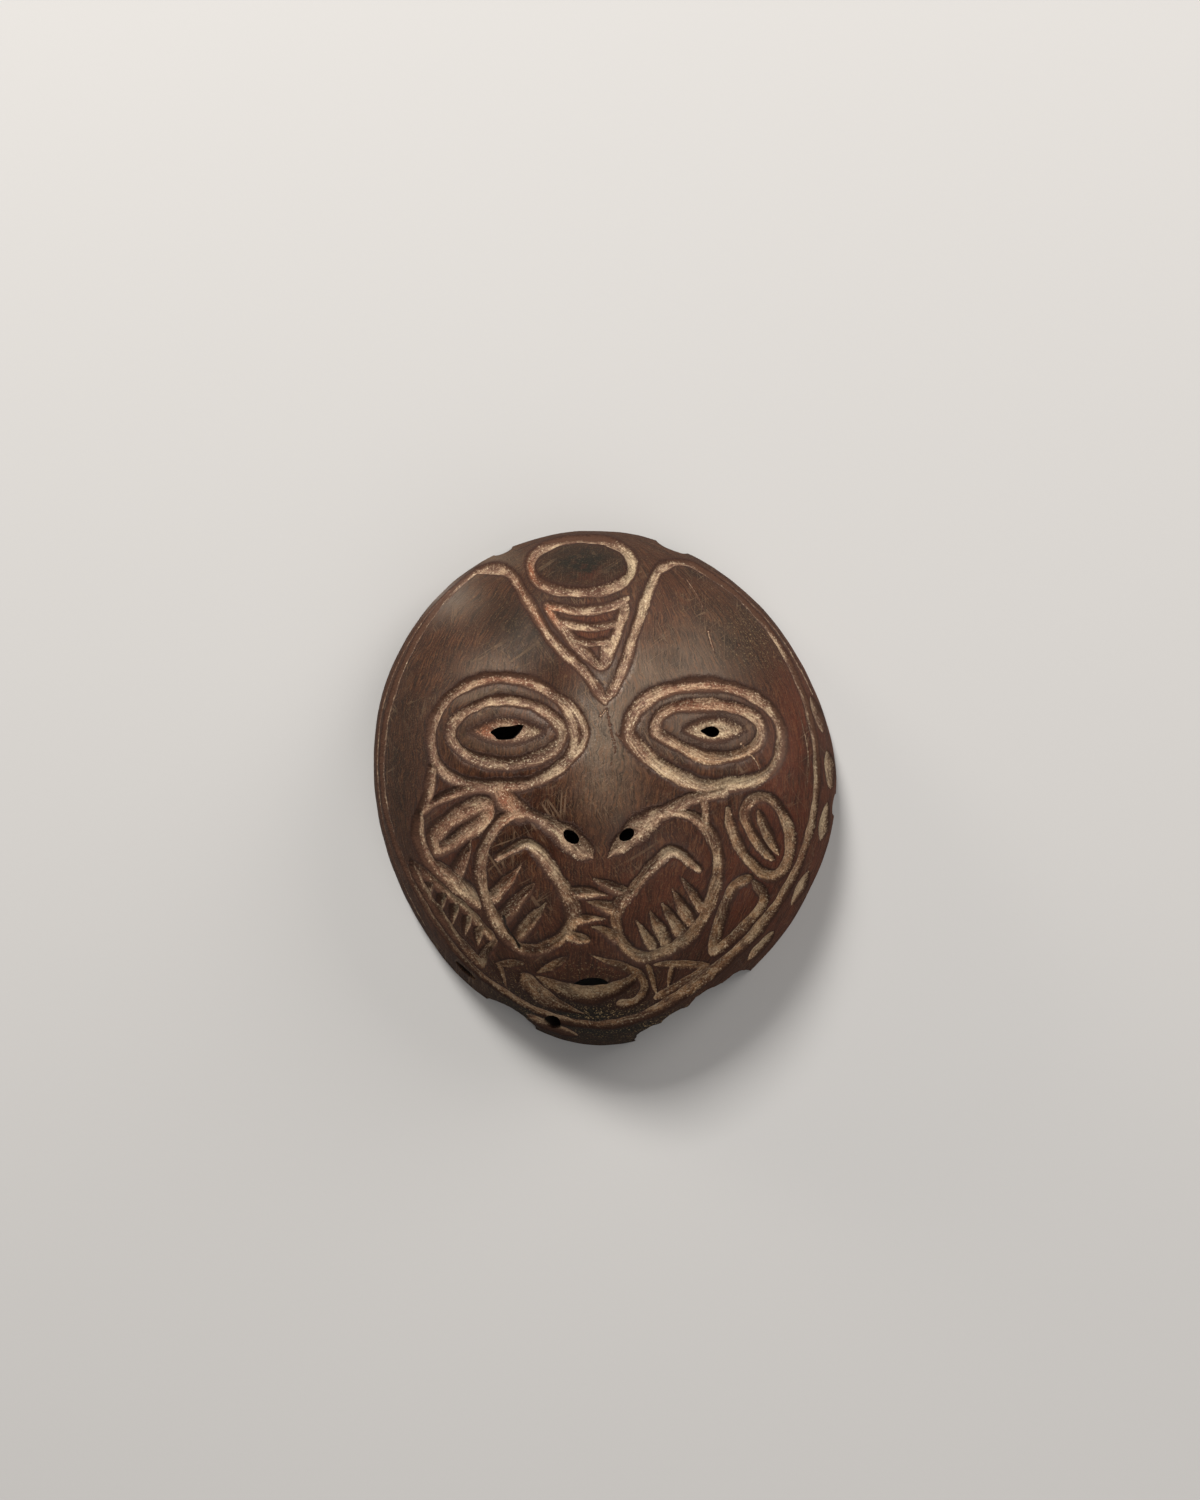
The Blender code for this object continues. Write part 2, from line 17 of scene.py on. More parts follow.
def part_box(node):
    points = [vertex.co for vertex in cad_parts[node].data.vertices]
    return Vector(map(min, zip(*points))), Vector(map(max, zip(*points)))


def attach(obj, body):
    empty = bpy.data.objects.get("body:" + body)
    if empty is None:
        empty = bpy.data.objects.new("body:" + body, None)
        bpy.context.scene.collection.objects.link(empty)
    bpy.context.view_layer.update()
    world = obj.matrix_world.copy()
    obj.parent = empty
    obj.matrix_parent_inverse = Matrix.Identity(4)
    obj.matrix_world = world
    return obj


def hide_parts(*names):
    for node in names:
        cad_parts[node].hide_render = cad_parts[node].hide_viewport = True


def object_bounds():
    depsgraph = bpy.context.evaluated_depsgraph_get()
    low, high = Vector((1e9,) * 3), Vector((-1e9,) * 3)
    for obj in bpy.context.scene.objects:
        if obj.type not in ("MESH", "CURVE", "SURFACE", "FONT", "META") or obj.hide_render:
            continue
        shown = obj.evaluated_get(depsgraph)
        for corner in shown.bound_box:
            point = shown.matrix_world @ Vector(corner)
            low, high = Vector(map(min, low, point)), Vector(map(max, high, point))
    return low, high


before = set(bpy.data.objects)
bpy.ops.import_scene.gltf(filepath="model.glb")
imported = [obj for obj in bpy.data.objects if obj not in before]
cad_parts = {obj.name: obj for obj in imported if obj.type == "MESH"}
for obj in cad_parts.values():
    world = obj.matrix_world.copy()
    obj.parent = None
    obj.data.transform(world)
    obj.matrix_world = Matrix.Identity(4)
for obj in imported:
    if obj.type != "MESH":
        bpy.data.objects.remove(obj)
cad_low, cad_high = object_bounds()
shell_low, shell_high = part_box("mask_shell")
print("the solid measures", [round(size * 1000, 1) for size in shell_high - shell_low], "mm")

# %% [markdown]
# ## The form of the shell
#
# A coconut shell is an egg with thick, even walls. It could be sculpted by hand, or lofted from
# cross-sections, but an egg has a short rule: every point of the wall has turned by some angle
# from the face, and that angle gives both how high it lies and how far out. The outline seen
# from the front is twelve reaches joined by a smooth curve. The carving is drawn in millimetres
# on that front view and laid on the dome, as a carver would pencil it on.

# %% Measures of the shell
MM = 0.001
SHELL_WIDTH = shell_high.x - shell_low.x
SHELL_LENGTH = shell_high.y - shell_low.y
SHELL_DEPTH = 0.048
SHELL_WALL = 0.004
RIM_TILT = math.radians(82.0)
OUTLINE_REACH = np.array((58.0, 58.1, 61.1, 64.5, 64.4, 61.2, 57.5, 57.0, 60.9, 65.1, 59.8, 57.6))
BORDER_SHARE = np.array((0.912, 0.950, 0.966, 0.960, 0.978, 0.957, 0.961, 0.940, 0.930, 0.915,
                         0.893, 0.903))
NOSE_RISE = 0.0014
NOSE_MIDDLE = (-1.0, -6.0)
NOSE_SPREAD = (9.0, 13.0, 5.5)


def smooth(a, b, c, d, t):
    """The place a share t of the way from b to c, on a smooth curve through four even steps."""
    return b + ((c - a) + ((2 * a - 5 * b + 4 * c - d) + (3 * b - a - 3 * c + d) * t) * t) * (t / 2)


def read_round(values, azimuth):
    """Reads a ring of evenly spaced values at many azimuths, on a smooth curve through them."""
    place = np.mod(azimuth / math.tau, 1.0) * len(values)
    start = np.floor(place).astype(int)
    return smooth(*(values[(start + k) % len(values)] for k in (-1, 0, 1, 2)), place - start)


def outline(azimuth):
    """Drawn points of the rim, one row for each azimuth."""
    reach = read_round(OUTLINE_REACH, azimuth)
    return np.stack((reach * np.cos(azimuth), reach * np.sin(azimuth)), axis=-1)


rim_points = outline(np.linspace(0, math.tau, 720, endpoint=False))
DRAWN_CENTRE = (rim_points.max(0) + rim_points.min(0)) / 2
TO_METRES = np.array((SHELL_WIDTH, SHELL_LENGTH)) / (rim_points.max(0) - rim_points.min(0))
print("one drawn millimetre is", (TO_METRES / MM).round(4), "mm on the face")


# %% Lay drawn points on the dome
def dome(tilt, depth):
    """Height above the rim where the wall has turned by tilt."""
    return depth * (np.cos(tilt) - math.cos(RIM_TILT)) / (1 - math.cos(RIM_TILT))


def nose(drawn):
    """How far the nose swells out of the dome."""
    across = (drawn[:, 0] - NOSE_MIDDLE[0]) / NOSE_SPREAD[0]
    up = drawn[:, 1] > NOSE_MIDDLE[1]
    along = (drawn[:, 1] - NOSE_MIDDLE[1]) / np.where(up, NOSE_SPREAD[1], NOSE_SPREAD[2])
    return NOSE_RISE * np.exp(-across ** 2 - along ** 2)


def shell_points(azimuth, tilt, inset=0.0):
    """Points of the outer face, or of a face that lies inset inside it."""
    share = np.sin(tilt) / math.sin(RIM_TILT)
    drawn = outline(azimuth)
    rim = (drawn - DRAWN_CENTRE) * TO_METRES
    shrink = 1 - inset / np.linalg.norm(rim, axis=1)
    flat = rim * (share * shrink)[:, None]
    height = dome(tilt, SHELL_DEPTH - inset) + nose(drawn * share[:, None])
    return np.column_stack((flat, height))


def azimuths(drawn):
    return np.arctan2(drawn[:, 1], drawn[:, 0])


def rim_share(drawn):
    """How far out drawn points lie, from 0 in the middle to 1 on the rim."""
    return np.hypot(*drawn.T) / np.hypot(*outline(azimuths(drawn)).T)


def on_face(drawn):
    """Points of the outer face above drawn points."""
    share = np.minimum(rim_share(drawn), 1.0)
    return shell_points(azimuths(drawn), np.arcsin(share * math.sin(RIM_TILT)))


def face_normals(drawn, step=0.2):
    """Which way the outer face looks above drawn points."""
    middle = drawn * np.minimum(1.0, 1 - step / np.maximum(np.hypot(*drawn.T), 1.0))[:, None]
    across = on_face(middle + (step, 0)) - on_face(middle - (step, 0))
    along = on_face(middle + (0, step)) - on_face(middle - (0, step))
    normal = np.cross(across, along)
    return normal / np.linalg.norm(normal, axis=1)[:, None]


def read_shell(places):
    """Where places lie in the drawing, and their level: 1 on the outer face, less inside the wall."""
    drawn = places[:, :2] / TO_METRES
    for _ in range(3):
        share = rim_share(drawn)
        drawn = places[:, :2] / TO_METRES + share[:, None] * DRAWN_CENTRE
    outward = share * math.sin(RIM_TILT)
    upward = (places[:, 2] - nose(drawn)) / SHELL_DEPTH * (1 - math.cos(RIM_TILT)) + math.cos(RIM_TILT)
    return drawn, np.hypot(outward, upward), np.arctan2(outward, upward)


# %% [markdown]
# ## Hollowing the half shell
#
# A dense mesh is needed, because grooves three millimetres wide run all over it. A UV sphere would
# crowd its faces at the pole, right on the nose, so each dome starts as an icosphere, whose
# triangles are all alike. It is cut at the rim and bent to the egg's form. A larger dome and a
# smaller one inside it are bridged at the rim, which makes the sawn edge. The holes and the
# broken places of the rim are then cut with Booleans, while the mesh is still light.

# %% Make the two domes
OUTER_SUBDIVISIONS = 7
INNER_SUBDIVISIONS = 6
RIM_SNAP = 0.002


def coordinates(mesh):
    places = np.empty(len(mesh.vertices) * 3, np.float32)
    mesh.vertices.foreach_get("co", places)
    return places.reshape(-1, 3).astype(float)


def set_coordinates(mesh, places):
    mesh.vertices.foreach_set("co", places.astype(np.float32).ravel())
    mesh.update()


def new_object(name, data):
    """An object in the scene for a mesh, lamp or camera."""
    made = bpy.data.objects.new(name, data)
    bpy.context.scene.collection.objects.link(made)
    return made


def to_mesh(name, bm):
    """Makes a mesh of a bmesh and frees it."""
    mesh = bpy.data.meshes.new(name)
    bm.to_mesh(mesh)
    bm.free()
    return mesh


def open_dome(name, subdivisions, inset):
    """The upper half of an icosphere bent to the shell's form."""
    bm = bmesh.new()
    bmesh.ops.create_icosphere(bm, subdivisions=subdivisions, radius=1.0)
    everything = bm.verts[:] + bm.edges[:] + bm.faces[:]
    bmesh.ops.bisect_plane(bm, geom=everything, plane_co=(0, 0, 0), plane_no=(0, 0, 1),
                           dist=RIM_SNAP, clear_inner=True)
    mesh = to_mesh(name, bm)
    places = coordinates(mesh)
    rise = np.where(places[:, 2] < 2 * RIM_SNAP, 0.0, np.minimum(places[:, 2], 1.0))
    tilt = np.arccos(rise) / (math.pi / 2) * RIM_TILT
    set_coordinates(mesh, shell_points(azimuths(places), tilt, inset))
    return mesh


# The bridge finds which way round to go from the line between its two loops, and these share one
# middle. So the inner dome waits below the outer one while they are bridged.
WAITING_DROP = 0.02
bm = bmesh.new()
bm.from_mesh(open_dome("outer_face", OUTER_SUBDIVISIONS, 0.0))
outer_count = len(bm.verts)
bm.from_mesh(open_dome("inner_face", INNER_SUBDIVISIONS, SHELL_WALL))
inner = bm.verts[outer_count:]
bmesh.ops.translate(bm, verts=inner, vec=(0, 0, -WAITING_DROP))
bmesh.ops.bridge_loops(bm, edges=[edge for edge in bm.edges if edge.is_boundary])
bmesh.ops.translate(bm, verts=inner, vec=(0, 0, WAITING_DROP))
bmesh.ops.recalc_face_normals(bm, faces=bm.faces)
print("wall volume", round(bm.calc_volume(signed=True) * 1e6, 1), "cubic centimetres")
shell = new_object("carved_shell", to_mesh("carved_shell", bm))
print("a hollow half shell with", len(shell.data.polygons), "faces")

# %% Holes through the wall
# Each outline is in millimetres about its own middle. The viewer's left eyehole was hacked open.
HACKED_EYEHOLE = ((-4.2, -1.4), (-2.5, 1.0), (-1.2, 1.8), (2.0, 1.9), (3.2, 0.9), (4.2, -0.1),
                  (2.0, -1.3), (-0.5, -1.5), (-3.2, -1.9))
SMALL_EYEHOLE = ((-2.3, 0.1), (-1.4, 1.3), (0.2, 1.5), (1.6, 0.8), (2.6, -0.1), (1.2, -0.9),
                 (-0.2, -1.3), (-1.5, -0.9))
MOUTH_HOLE = ((-4.6, 0.1), (-2.2, 0.5), (1.6, 0.5), (4.6, 0.0), (2.6, -1.3), (0.0, -1.8), (-2.8, -1.5))
HOLE_SIDES = 40
FACE_DRILL = 6 * SHELL_WALL
WALL_DRILL = 4 * SHELL_WALL


def closed_curve(*points):
    """Even steps round the smooth closed curve through a few points."""
    points = np.array(points)
    count = len(points)
    place = np.arange(HOLE_SIDES) * count / HOLE_SIDES
    start = place.astype(int)
    return smooth(*(points[(start + k) % count] for k in (-1, 0, 1, 2)), (place - start)[:, None])


def oval(length, width):
    turn = np.linspace(0, math.tau, HOLE_SIDES, endpoint=False)
    return np.column_stack((np.cos(turn) * length / 2, np.sin(turn) * width / 2))


def drill(name, hole, place, direction, length, turn=0.0):
    """A prism with a hole's outline, in millimetres, run through the wall at a place."""
    bm = bmesh.new()
    bmesh.ops.create_circle(bm, cap_ends=True, segments=len(hole), radius=1.0)
    bm.verts.ensure_lookup_table()
    for vert, (x, y) in zip(bm.verts, hole):
        vert.co = (x * MM, y * MM, -length / 2)
    grown = bmesh.ops.extrude_face_region(bm, geom=bm.faces[:])["geom"]
    raised = [item for item in grown if isinstance(item, bmesh.types.BMVert)]
    bmesh.ops.translate(bm, verts=raised, vec=(0, 0, length))
    upright = Vector(direction).to_track_quat("Z", "Y").to_matrix().to_4x4()
    stand = Matrix.Translation(Vector(place)) @ upright @ Matrix.Rotation(turn, 4, "Z")
    bmesh.ops.transform(bm, matrix=stand, verts=bm.verts)
    bmesh.ops.recalc_face_normals(bm, faces=bm.faces)
    return new_object(name, to_mesh(name, bm))


def face_hole(name, x, y, hole, turn=0.0):
    """A hole cut straight back."""
    return drill(name, hole, on_face(np.array([[x, y]]))[0], (0, 0, 1), FACE_DRILL, turn)


def wall_hole(name, azimuth, height, hole, turn=0.0):
    """A hole drilled square to the steep wall at a height above the rim."""
    tilt = math.acos(height / SHELL_DEPTH * (1 - math.cos(RIM_TILT)) + math.cos(RIM_TILT))
    drawn = outline(np.array([azimuth])) * (math.sin(tilt) / math.sin(RIM_TILT))
    return drill(name, hole, on_face(drawn)[0], face_normals(drawn)[0], WALL_DRILL, turn)


cutters = [
    face_hole("left_eyehole", -24.5, 14.0, closed_curve(*HACKED_EYEHOLE)),
    face_hole("right_eyehole", 26.5, 14.25, closed_curve(*SMALL_EYEHOLE)),
    face_hole("left_nostril", -8.5, -12.25, oval(4.6, 3.0), math.radians(-36)),
    face_hole("right_nostril", 5.5, -11.75, oval(4.2, 3.0), math.radians(32)),
    face_hole("mouth", -3.25, -49.25, closed_curve(*MOUTH_HOLE)),
    wall_hole("lashing_hole", math.radians(257.4), 0.0106, oval(5.6, 8.0)),
    wall_hole("lashing_slot", math.radians(233.0), 0.0088, oval(6.8, 3.2), math.radians(12)),
]

# %% Broken places of the rim
# Azimuth in degrees, width along the rim and height above it, in millimetres.
RIM_CHIPS = ((248.3, 14.0, 8.0), (281.5, 11.0, 10.0), (288.0, 15.0, 11.5), (296.0, 16.0, 12.5),
             (302.5, 11.0, 10.0), (74.5, 8.0, 5.0), (113.0, 5.0, 4.0), (355.5, 5.5, 4.2))
CHIP_SUBDIVISIONS = 4

# How far a lump reaches through the wall, along the rim and up it, and how low its middle lies, as
# shares of the wall, the chip's width and its height.
CHIP_REACH = 1.4
CHIP_SPAN = 0.55
CHIP_RISE = 1.1
CHIP_DROP = 0.1


def ripple(places, size, number=0):
    """Smooth irregular waves between about -1 and 1, whose crests lie about size apart."""
    waves = np.zeros(len(places))
    for k in range(5):
        turn = 2.4 * (k + 1) + 1.7 * number
        lean = 0.9 * math.sin(1.3 * k + 0.6 * number)
        way = (math.cos(turn) * math.cos(lean), math.sin(turn) * math.cos(lean), math.sin(lean))
        waves += np.sin(places @ np.array(way) * (math.tau / size * (0.7 + 0.18 * k)) + 1.9 * k + number)
    return waves / 3.2


def rim_chip(number, azimuth, width, height):
    """A rough lump to break out of the rim, like the solid's own but with a torn surface."""
    bm = bmesh.new()
    bmesh.ops.create_icosphere(bm, subdivisions=CHIP_SUBDIVISIONS, radius=1.0)
    reach = SHELL_WALL * CHIP_REACH
    bmesh.ops.scale(bm, vec=(reach, width * CHIP_SPAN * MM, height * CHIP_RISE * MM),
                    verts=bm.verts)
    mesh = to_mesh(f"rim_chip_{number}", bm)
    places = coordinates(mesh)
    torn = 1 + 0.05 * ripple(places, 0.006, number) + 0.03 * ripple(places, 0.0022, number + 3)
    places *= torn[:, None]
    turn = math.radians(azimuth)
    rim = Vector(shell_points(np.array([turn]), np.array([RIM_TILT]))[0])
    inwards = Vector((rim.x, rim.y, 0)).normalized() * (SHELL_WALL / 2)
    place = rim - inwards - Vector((0, 0, height * CHIP_DROP * MM))
    stand = Matrix.Translation(place) @ Matrix.Rotation(math.atan2(rim.y, rim.x), 4, "Z")
    set_coordinates(mesh, places)
    mesh.transform(stand)
    return new_object(mesh.name, mesh)


cutters += [rim_chip(number, *chip) for number, chip in enumerate(RIM_CHIPS)]


# %% Cut the shell
def carve(body, tool):
    """Applies one Boolean cut to a mesh and removes the cutter."""
    modifier = body.modifiers.new("carve", "BOOLEAN")
    modifier.operation = "DIFFERENCE"
    modifier.solver = "EXACT"
    modifier.object = tool
    graph = bpy.context.evaluated_depsgraph_get()
    body.data = bpy.data.meshes.new_from_object(body.evaluated_get(graph))
    body.modifiers.clear()
    bpy.data.objects.remove(tool)


for tool in cutters:
    carve(shell, tool)
print("pierced and chipped, with", len(shell.data.polygons), "faces")

# %% [markdown]
# ## The carver's strokes
#
# Every groove is one stroke of the gouge: a few points on the drawing, a width, and how that
# width runs from start to end. Grooves could be cut by Booleans with tubes, as the solid's are,
# but here each vertex is pushed in by what the gouge took at that spot, so that grooves can
# meet, wander and vary in depth like hand work.


# %% Kinds of stroke
def even(share):
    return np.minimum(1.0, 0.6 + 6 * np.minimum(share, 1 - share))


def tooth(share):
    return np.maximum(1.0 - share ** 2.5, 0.05) * np.minimum(1.0, 0.55 + 6 * share)


def leaf(share):
    return np.maximum(np.sin(math.pi * np.clip(share, 0, 1)) ** 0.6, 0.05)


def jaw(share):
    return even(share) * (1 + 0.3 * np.exp(-(((share - 0.72) / 0.13) ** 2)))


def wing(share):
    swelling = np.exp(-(((share - 0.62) / 0.24) ** 2))
    point = np.where(share < 0.85, 1.0, np.maximum(1 - (share - 0.85) / 0.17, 0.1))
    return (0.42 + 0.58 * swelling) * point


# The widths are those of the pale bottoms. The cut walls on both sides add about a fifth.
WITH_WALLS = 1.22
strokes = []


def cut(width, along, *points, closed=False):
    strokes.append((width * WITH_WALLS, along, np.array(points, float), closed))


def cut_ring(widths, centre, reaches, fullness, steps=24):
    """An oval drawn by its reach left, right, up and down. The gouge's width is given at the right,
    top, left and bottom. Fullness says how square each corner is: upper left, upper right, lower
    left, lower right; 2 is an ellipse and 1 a straight line."""
    left, right, up, down = reaches
    points = []
    for step in range(steps):
        turn = math.tau * step / steps
        cosine, sine = math.cos(turn), math.sin(turn)
        corner = fullness[(0 if sine > 0 else 2) + (1 if cosine > 0 else 0)]
        x = abs(cosine) ** (2 / corner) * (right if cosine > 0 else -left)
        y = abs(sine) ** (2 / corner) * (up if sine > 0 else -down)
        points.append((centre[0] + x, centre[1] + y))
    ring = np.array(widths)
    cut(1.0, lambda share: read_round(ring, share * math.tau), *points, closed=True)


def along_rim(first, last, share, steps):
    """Drawn points that follow the outline from one azimuth to another, in degrees."""
    azimuth = np.radians(np.linspace(first, last, steps + 1))
    share = read_round(BORDER_SHARE, azimuth) if share is None else np.full(steps + 1, share)
    return outline(azimuth) * share[:, None]


# %% Eyes
cut_ring((2.4, 2.6, 2.2, 3.0), (-25.5, 12.75), (17.5, 18.1, 14.75, 12.25), (2.0, 2.0, 2.7, 2.0))
cut(2.2, leaf, (-16.5, 26.0), (-9.6, 21.6), (-6.0, 17.3), (-4.9, 14.0), (-5.8, 10.8), (-8.7, 7.2),
    (-13.0, 3.4), (-20.0, 0.6))
cut_ring((2.8, 2.3, 2.2, 3.0), (-25.0, 13.5), (13.25, 14.5, 8.5, 7.5), (1.8, 1.8, 1.9, 1.9))
cut_ring((2.3, 3.1, 3.4, 3.5), (25.0, 13.5), (19.25, 19.0, 12.25, 13.0), (2.2, 1.9, 1.35, 2.8))
cut_ring((2.3, 2.8, 2.6, 3.1), (25.75, 14.25), (13.25, 13.25, 6.5, 6.75), (2.8, 2.1, 1.2, 2.4))

# %% Crown disc, brow vee and the stepped triangle in it
cut_ring((2.5, 1.9, 2.3, 2.3), (-5.0, 55.75), (13.5, 12.0, 6.75, 7.0), (2.0, 2.0, 2.4, 2.1))
cut(2.4, even, (-31.75, 54.5), (-26.25, 55.0), (-23.0, 53.0), (-20.0, 48.25), (-15.0, 39.75),
    (-11.25, 34.75), (-5.75, 29.75), (0.0, 21.5))
cut(2.4, even, (0.25, 22.0), (3.25, 26.5), (6.0, 34.25), (8.75, 43.0), (11.5, 50.25),
    (13.5, 54.5), (17.5, 56.5))
cut(1.3, even, (17.0, 56.4), (21.0, 56.2), (25.5, 53.8))
cut(2.5, even, (-14.5, 45.25), (-8.0, 36.75), (-1.25, 30.0))
cut(2.6, even, (-0.5, 30.0), (2.25, 36.75), (5.25, 45.75))
cut(2.1, even, (-14.5, 45.75), (-8.75, 44.5), (-3.75, 44.25), (1.25, 45.25), (5.75, 47.25))
cut(2.0, even, (-11.25, 41.5), (-3.75, 40.0), (3.25, 41.25))
cut(1.8, even, (-7.25, 37.0), (-3.75, 36.0), (0.75, 36.75))
cut(2.2, leaf, (-6.75, 36.0), (-4.5, 33.75), (-2.5, 31.0))
cut(1.7, leaf, (-0.25, 36.5), (-0.5, 31.5))

# %% Nostril wings and the lines that tie them to the eyes
cut(5.6, wing, (-20.0, -6.0), (-15.0, -8.5), (-8.5, -12.75), (-2.75, -17.5))
cut(5.4, wing, (21.25, -2.25), (15.0, -5.25), (10.25, -8.5), (5.75, -12.25), (0.75, -17.25))
cut(4.4, even, (-26.5, -0.5), (-24.0, -3.5), (-20.5, -6.5))
cut(2.9, even, (30.0, -0.75), (26.0, -1.75), (20.75, -2.75))
cut(3.2, leaf, (22.5, -2.75), (17.0, -5.0), (11.5, -8.25))
cut(2.0, even, (24.5, -2.5), (25.25, -8.75))

# %% Toothed jaws on either side of the mouth, with the whiskers between them
cut(2.6, jaw, (-20.0, -6.25), (-25.0, -7.75), (-28.75, -12.25), (-31.0, -20.0), (-29.25, -28.75),
    (-26.5, -34.0), (-23.5, -38.25), (-20.0, -40.5), (-15.0, -40.0), (-10.5, -37.0),
    (-8.25, -32.75), (-8.5, -28.25), (-13.5, -19.75), (-17.0, -15.5), (-20.0, -13.75),
    (-26.5, -17.25))
cut(2.7, even, (15.75, -6.0), (20.0, -6.5), (24.25, -8.75), (27.0, -13.25), (28.25, -19.5),
    (26.0, -29.0), (23.0, -34.75), (18.75, -39.0), (13.75, -41.5), (9.25, -42.5), (5.0, -39.5),
    (2.75, -34.25), (3.25, -29.5), (5.75, -26.5), (13.75, -17.5), (17.5, -15.75), (23.25, -20.25))
cut(3.2, tooth, (-28.25, -27.75), (-20.5, -19.25))
cut(4.0, tooth, (-25.5, -32.75), (-17.0, -23.25))
cut(3.2, tooth, (-21.75, -37.5), (-14.25, -28.25))
cut(2.6, tooth, (24.75, -30.75), (18.5, -21.75))
cut(3.1, tooth, (21.75, -34.0), (16.75, -25.25))
cut(3.4, tooth, (19.25, -36.5), (14.0, -28.5))
cut(3.1, tooth, (15.75, -39.25), (11.0, -30.25))
cut(2.8, tooth, (12.5, -40.25), (7.75, -33.0))
cut(2.9, tooth, (-9.75, -26.25), (-4.0, -26.0), (1.0, -26.75))
cut(2.5, tooth, (-8.75, -32.75), (0.25, -32.5))
cut(2.6, leaf, (-11.0, -36.0), (-7.5, -37.25), (-3.5, -38.0))
cut(2.9, tooth, (5.25, -26.25), (1.0, -24.5), (-3.5, -22.25))
cut(3.1, tooth, (3.75, -31.25), (0.0, -29.5), (-4.5, -28.25))
cut(2.8, tooth, (3.25, -37.75), (0.0, -35.75), (-3.5, -34.5))

# %% The viewer's left cheek: a fish-bone panel and a saw band
cut(2.2, even, (-42.75, 5.5), (-43.75, -1.5), (-45.75, -6.5))
cut(2.5, even, (-46.0, -6.5), (-43.75, -4.5), (-39.5, -2.25), (-35.0, -0.5), (-29.5, 0.0),
    (-25.0, -1.25))
cut(2.7, even, (-46.25, -6.5), (-46.25, -12.0), (-44.25, -17.5), (-40.75, -21.5), (-32.0, -29.25))
cut(4.1, even, (-42.75, -12.75), (-40.0, -9.5), (-36.25, -6.75), (-32.25, -4.75), (-29.75, -4.25),
    (-28.5, -5.0))
cut(3.6, even, (-28.5, -5.25), (-31.25, -8.75), (-35.5, -12.0), (-39.25, -14.75), (-42.25, -16.0))
cut(2.6, even, (-42.75, -12.75), (-42.25, -16.0))
cut(3.4, tooth, (-37.75, -23.5), (-35.5, -18.5), (-33.0, -13.0))
cut(4.2, leaf, (-42.5, -18.5), (-36.75, -24.0), (-30.75, -30.25))
cut(2.0, even, (-48.0, -18.75), (-41.25, -24.75), (-35.0, -30.25), (-27.0, -38.5))
cut(1.9, even, (-48.0, -19.75), (-44.5, -26.5), (-40.5, -32.75), (-35.75, -39.0), (-30.5, -45.0))
cut(1.8, even, (-27.0, -38.5), (-29.75, -41.5), (-30.5, -45.0))
for start_x, start_y in np.linspace((-43.5, -24.0), (-31.0, -35.0), 5):
    cut(2.2, tooth, (start_x, start_y), (start_x - 0.6, start_y - 4.8))

# %% The viewer's right cheek: a spiral, a pod and the leaves in the border
cut(2.4, even, (30.5, -5.25), (31.5, -10.5), (34.5, -16.25), (38.0, -20.5), (41.75, -22.25),
    (45.0, -19.75), (46.25, -14.0), (44.75, -7.5), (41.25, -3.0), (37.25, -2.5), (34.75, -5.5),
    (35.75, -9.75), (38.5, -14.5), (41.5, -17.75))
cut(2.6, leaf, (38.0, -5.5), (40.25, -11.0), (43.25, -17.0))
cut(2.4, even, (26.5, -41.5), (27.5, -37.0), (28.75, -33.0), (30.25, -28.25), (32.25, -24.75),
    (36.0, -22.5))
cut(2.2, even, (37.25, -23.75), (39.5, -27.0), (39.0, -29.75), (36.75, -33.0), (32.0, -37.5),
    (27.25, -41.75))

# %% Mouth and chin
cut(2.0, tooth, (9.5, -46.75), (2.5, -44.0), (-3.75, -41.75))
cut(3.9, leaf, (-17.0, -47.25), (-11.25, -50.0), (-3.75, -51.5), (3.25, -50.0), (9.0, -46.25))
cut(3.4, tooth, (-20.25, -47.25), (-16.75, -51.0), (-11.25, -54.5), (-5.0, -56.75))
cut(2.0, even, (8.75, -46.75), (10.0, -50.5), (7.75, -53.5), (3.5, -54.25))
cut(1.8, leaf, (-27.25, -44.0), (-19.75, -44.0))
cut(1.2, tooth, (-26.25, -44.5), (-24.25, -50.5))
cut(1.9, leaf, (-17.0, -46.5), (-9.0, -42.25))
cut(2.0, leaf, (12.0, -44.25), (26.0, -44.25))
cut(1.6, tooth, (10.75, -44.5), (13.25, -52.5))
cut(1.3, tooth, (16.75, -45.0), (15.75, -50.5))
cut(2.0, even, (25.75, -44.75), (21.25, -48.25), (12.75, -52.75))
cut(2.2, leaf, (-19.5, -57.0), (-13.75, -60.0), (-6.5, -62.5))

# %% The border
BORDER_WIDTHS = ((121, 1.2), (180, 1.2), (215, 1.1), (245, 1.3), (275, 1.8), (300, 2.6), (322, 2.3),
                 (342, 1.6), (362, 1.5), (390, 1.3), (426, 1.2))


def border(share):
    places, widths = np.array(BORDER_WIDTHS).T
    return np.interp(places[0] + share * (places[-1] - places[0]), places, widths)


cut(1.0, border, *along_rim(121.0, 426.0, None, 60))
cut(0.5, even, *along_rim(128.0, 218.0, 0.985, 16))
cut(0.5, even, *along_rim(24.0, 64.0, 0.985, 8))
for middle, share in ((-45.5, 0.958), (-27.5, 0.958), (-9.0, 0.963), (4.5, 0.974), (19.0, 0.974)):
    cut(2.1, leaf, *along_rim(middle - 5.0, middle + 5.0, share, 2))

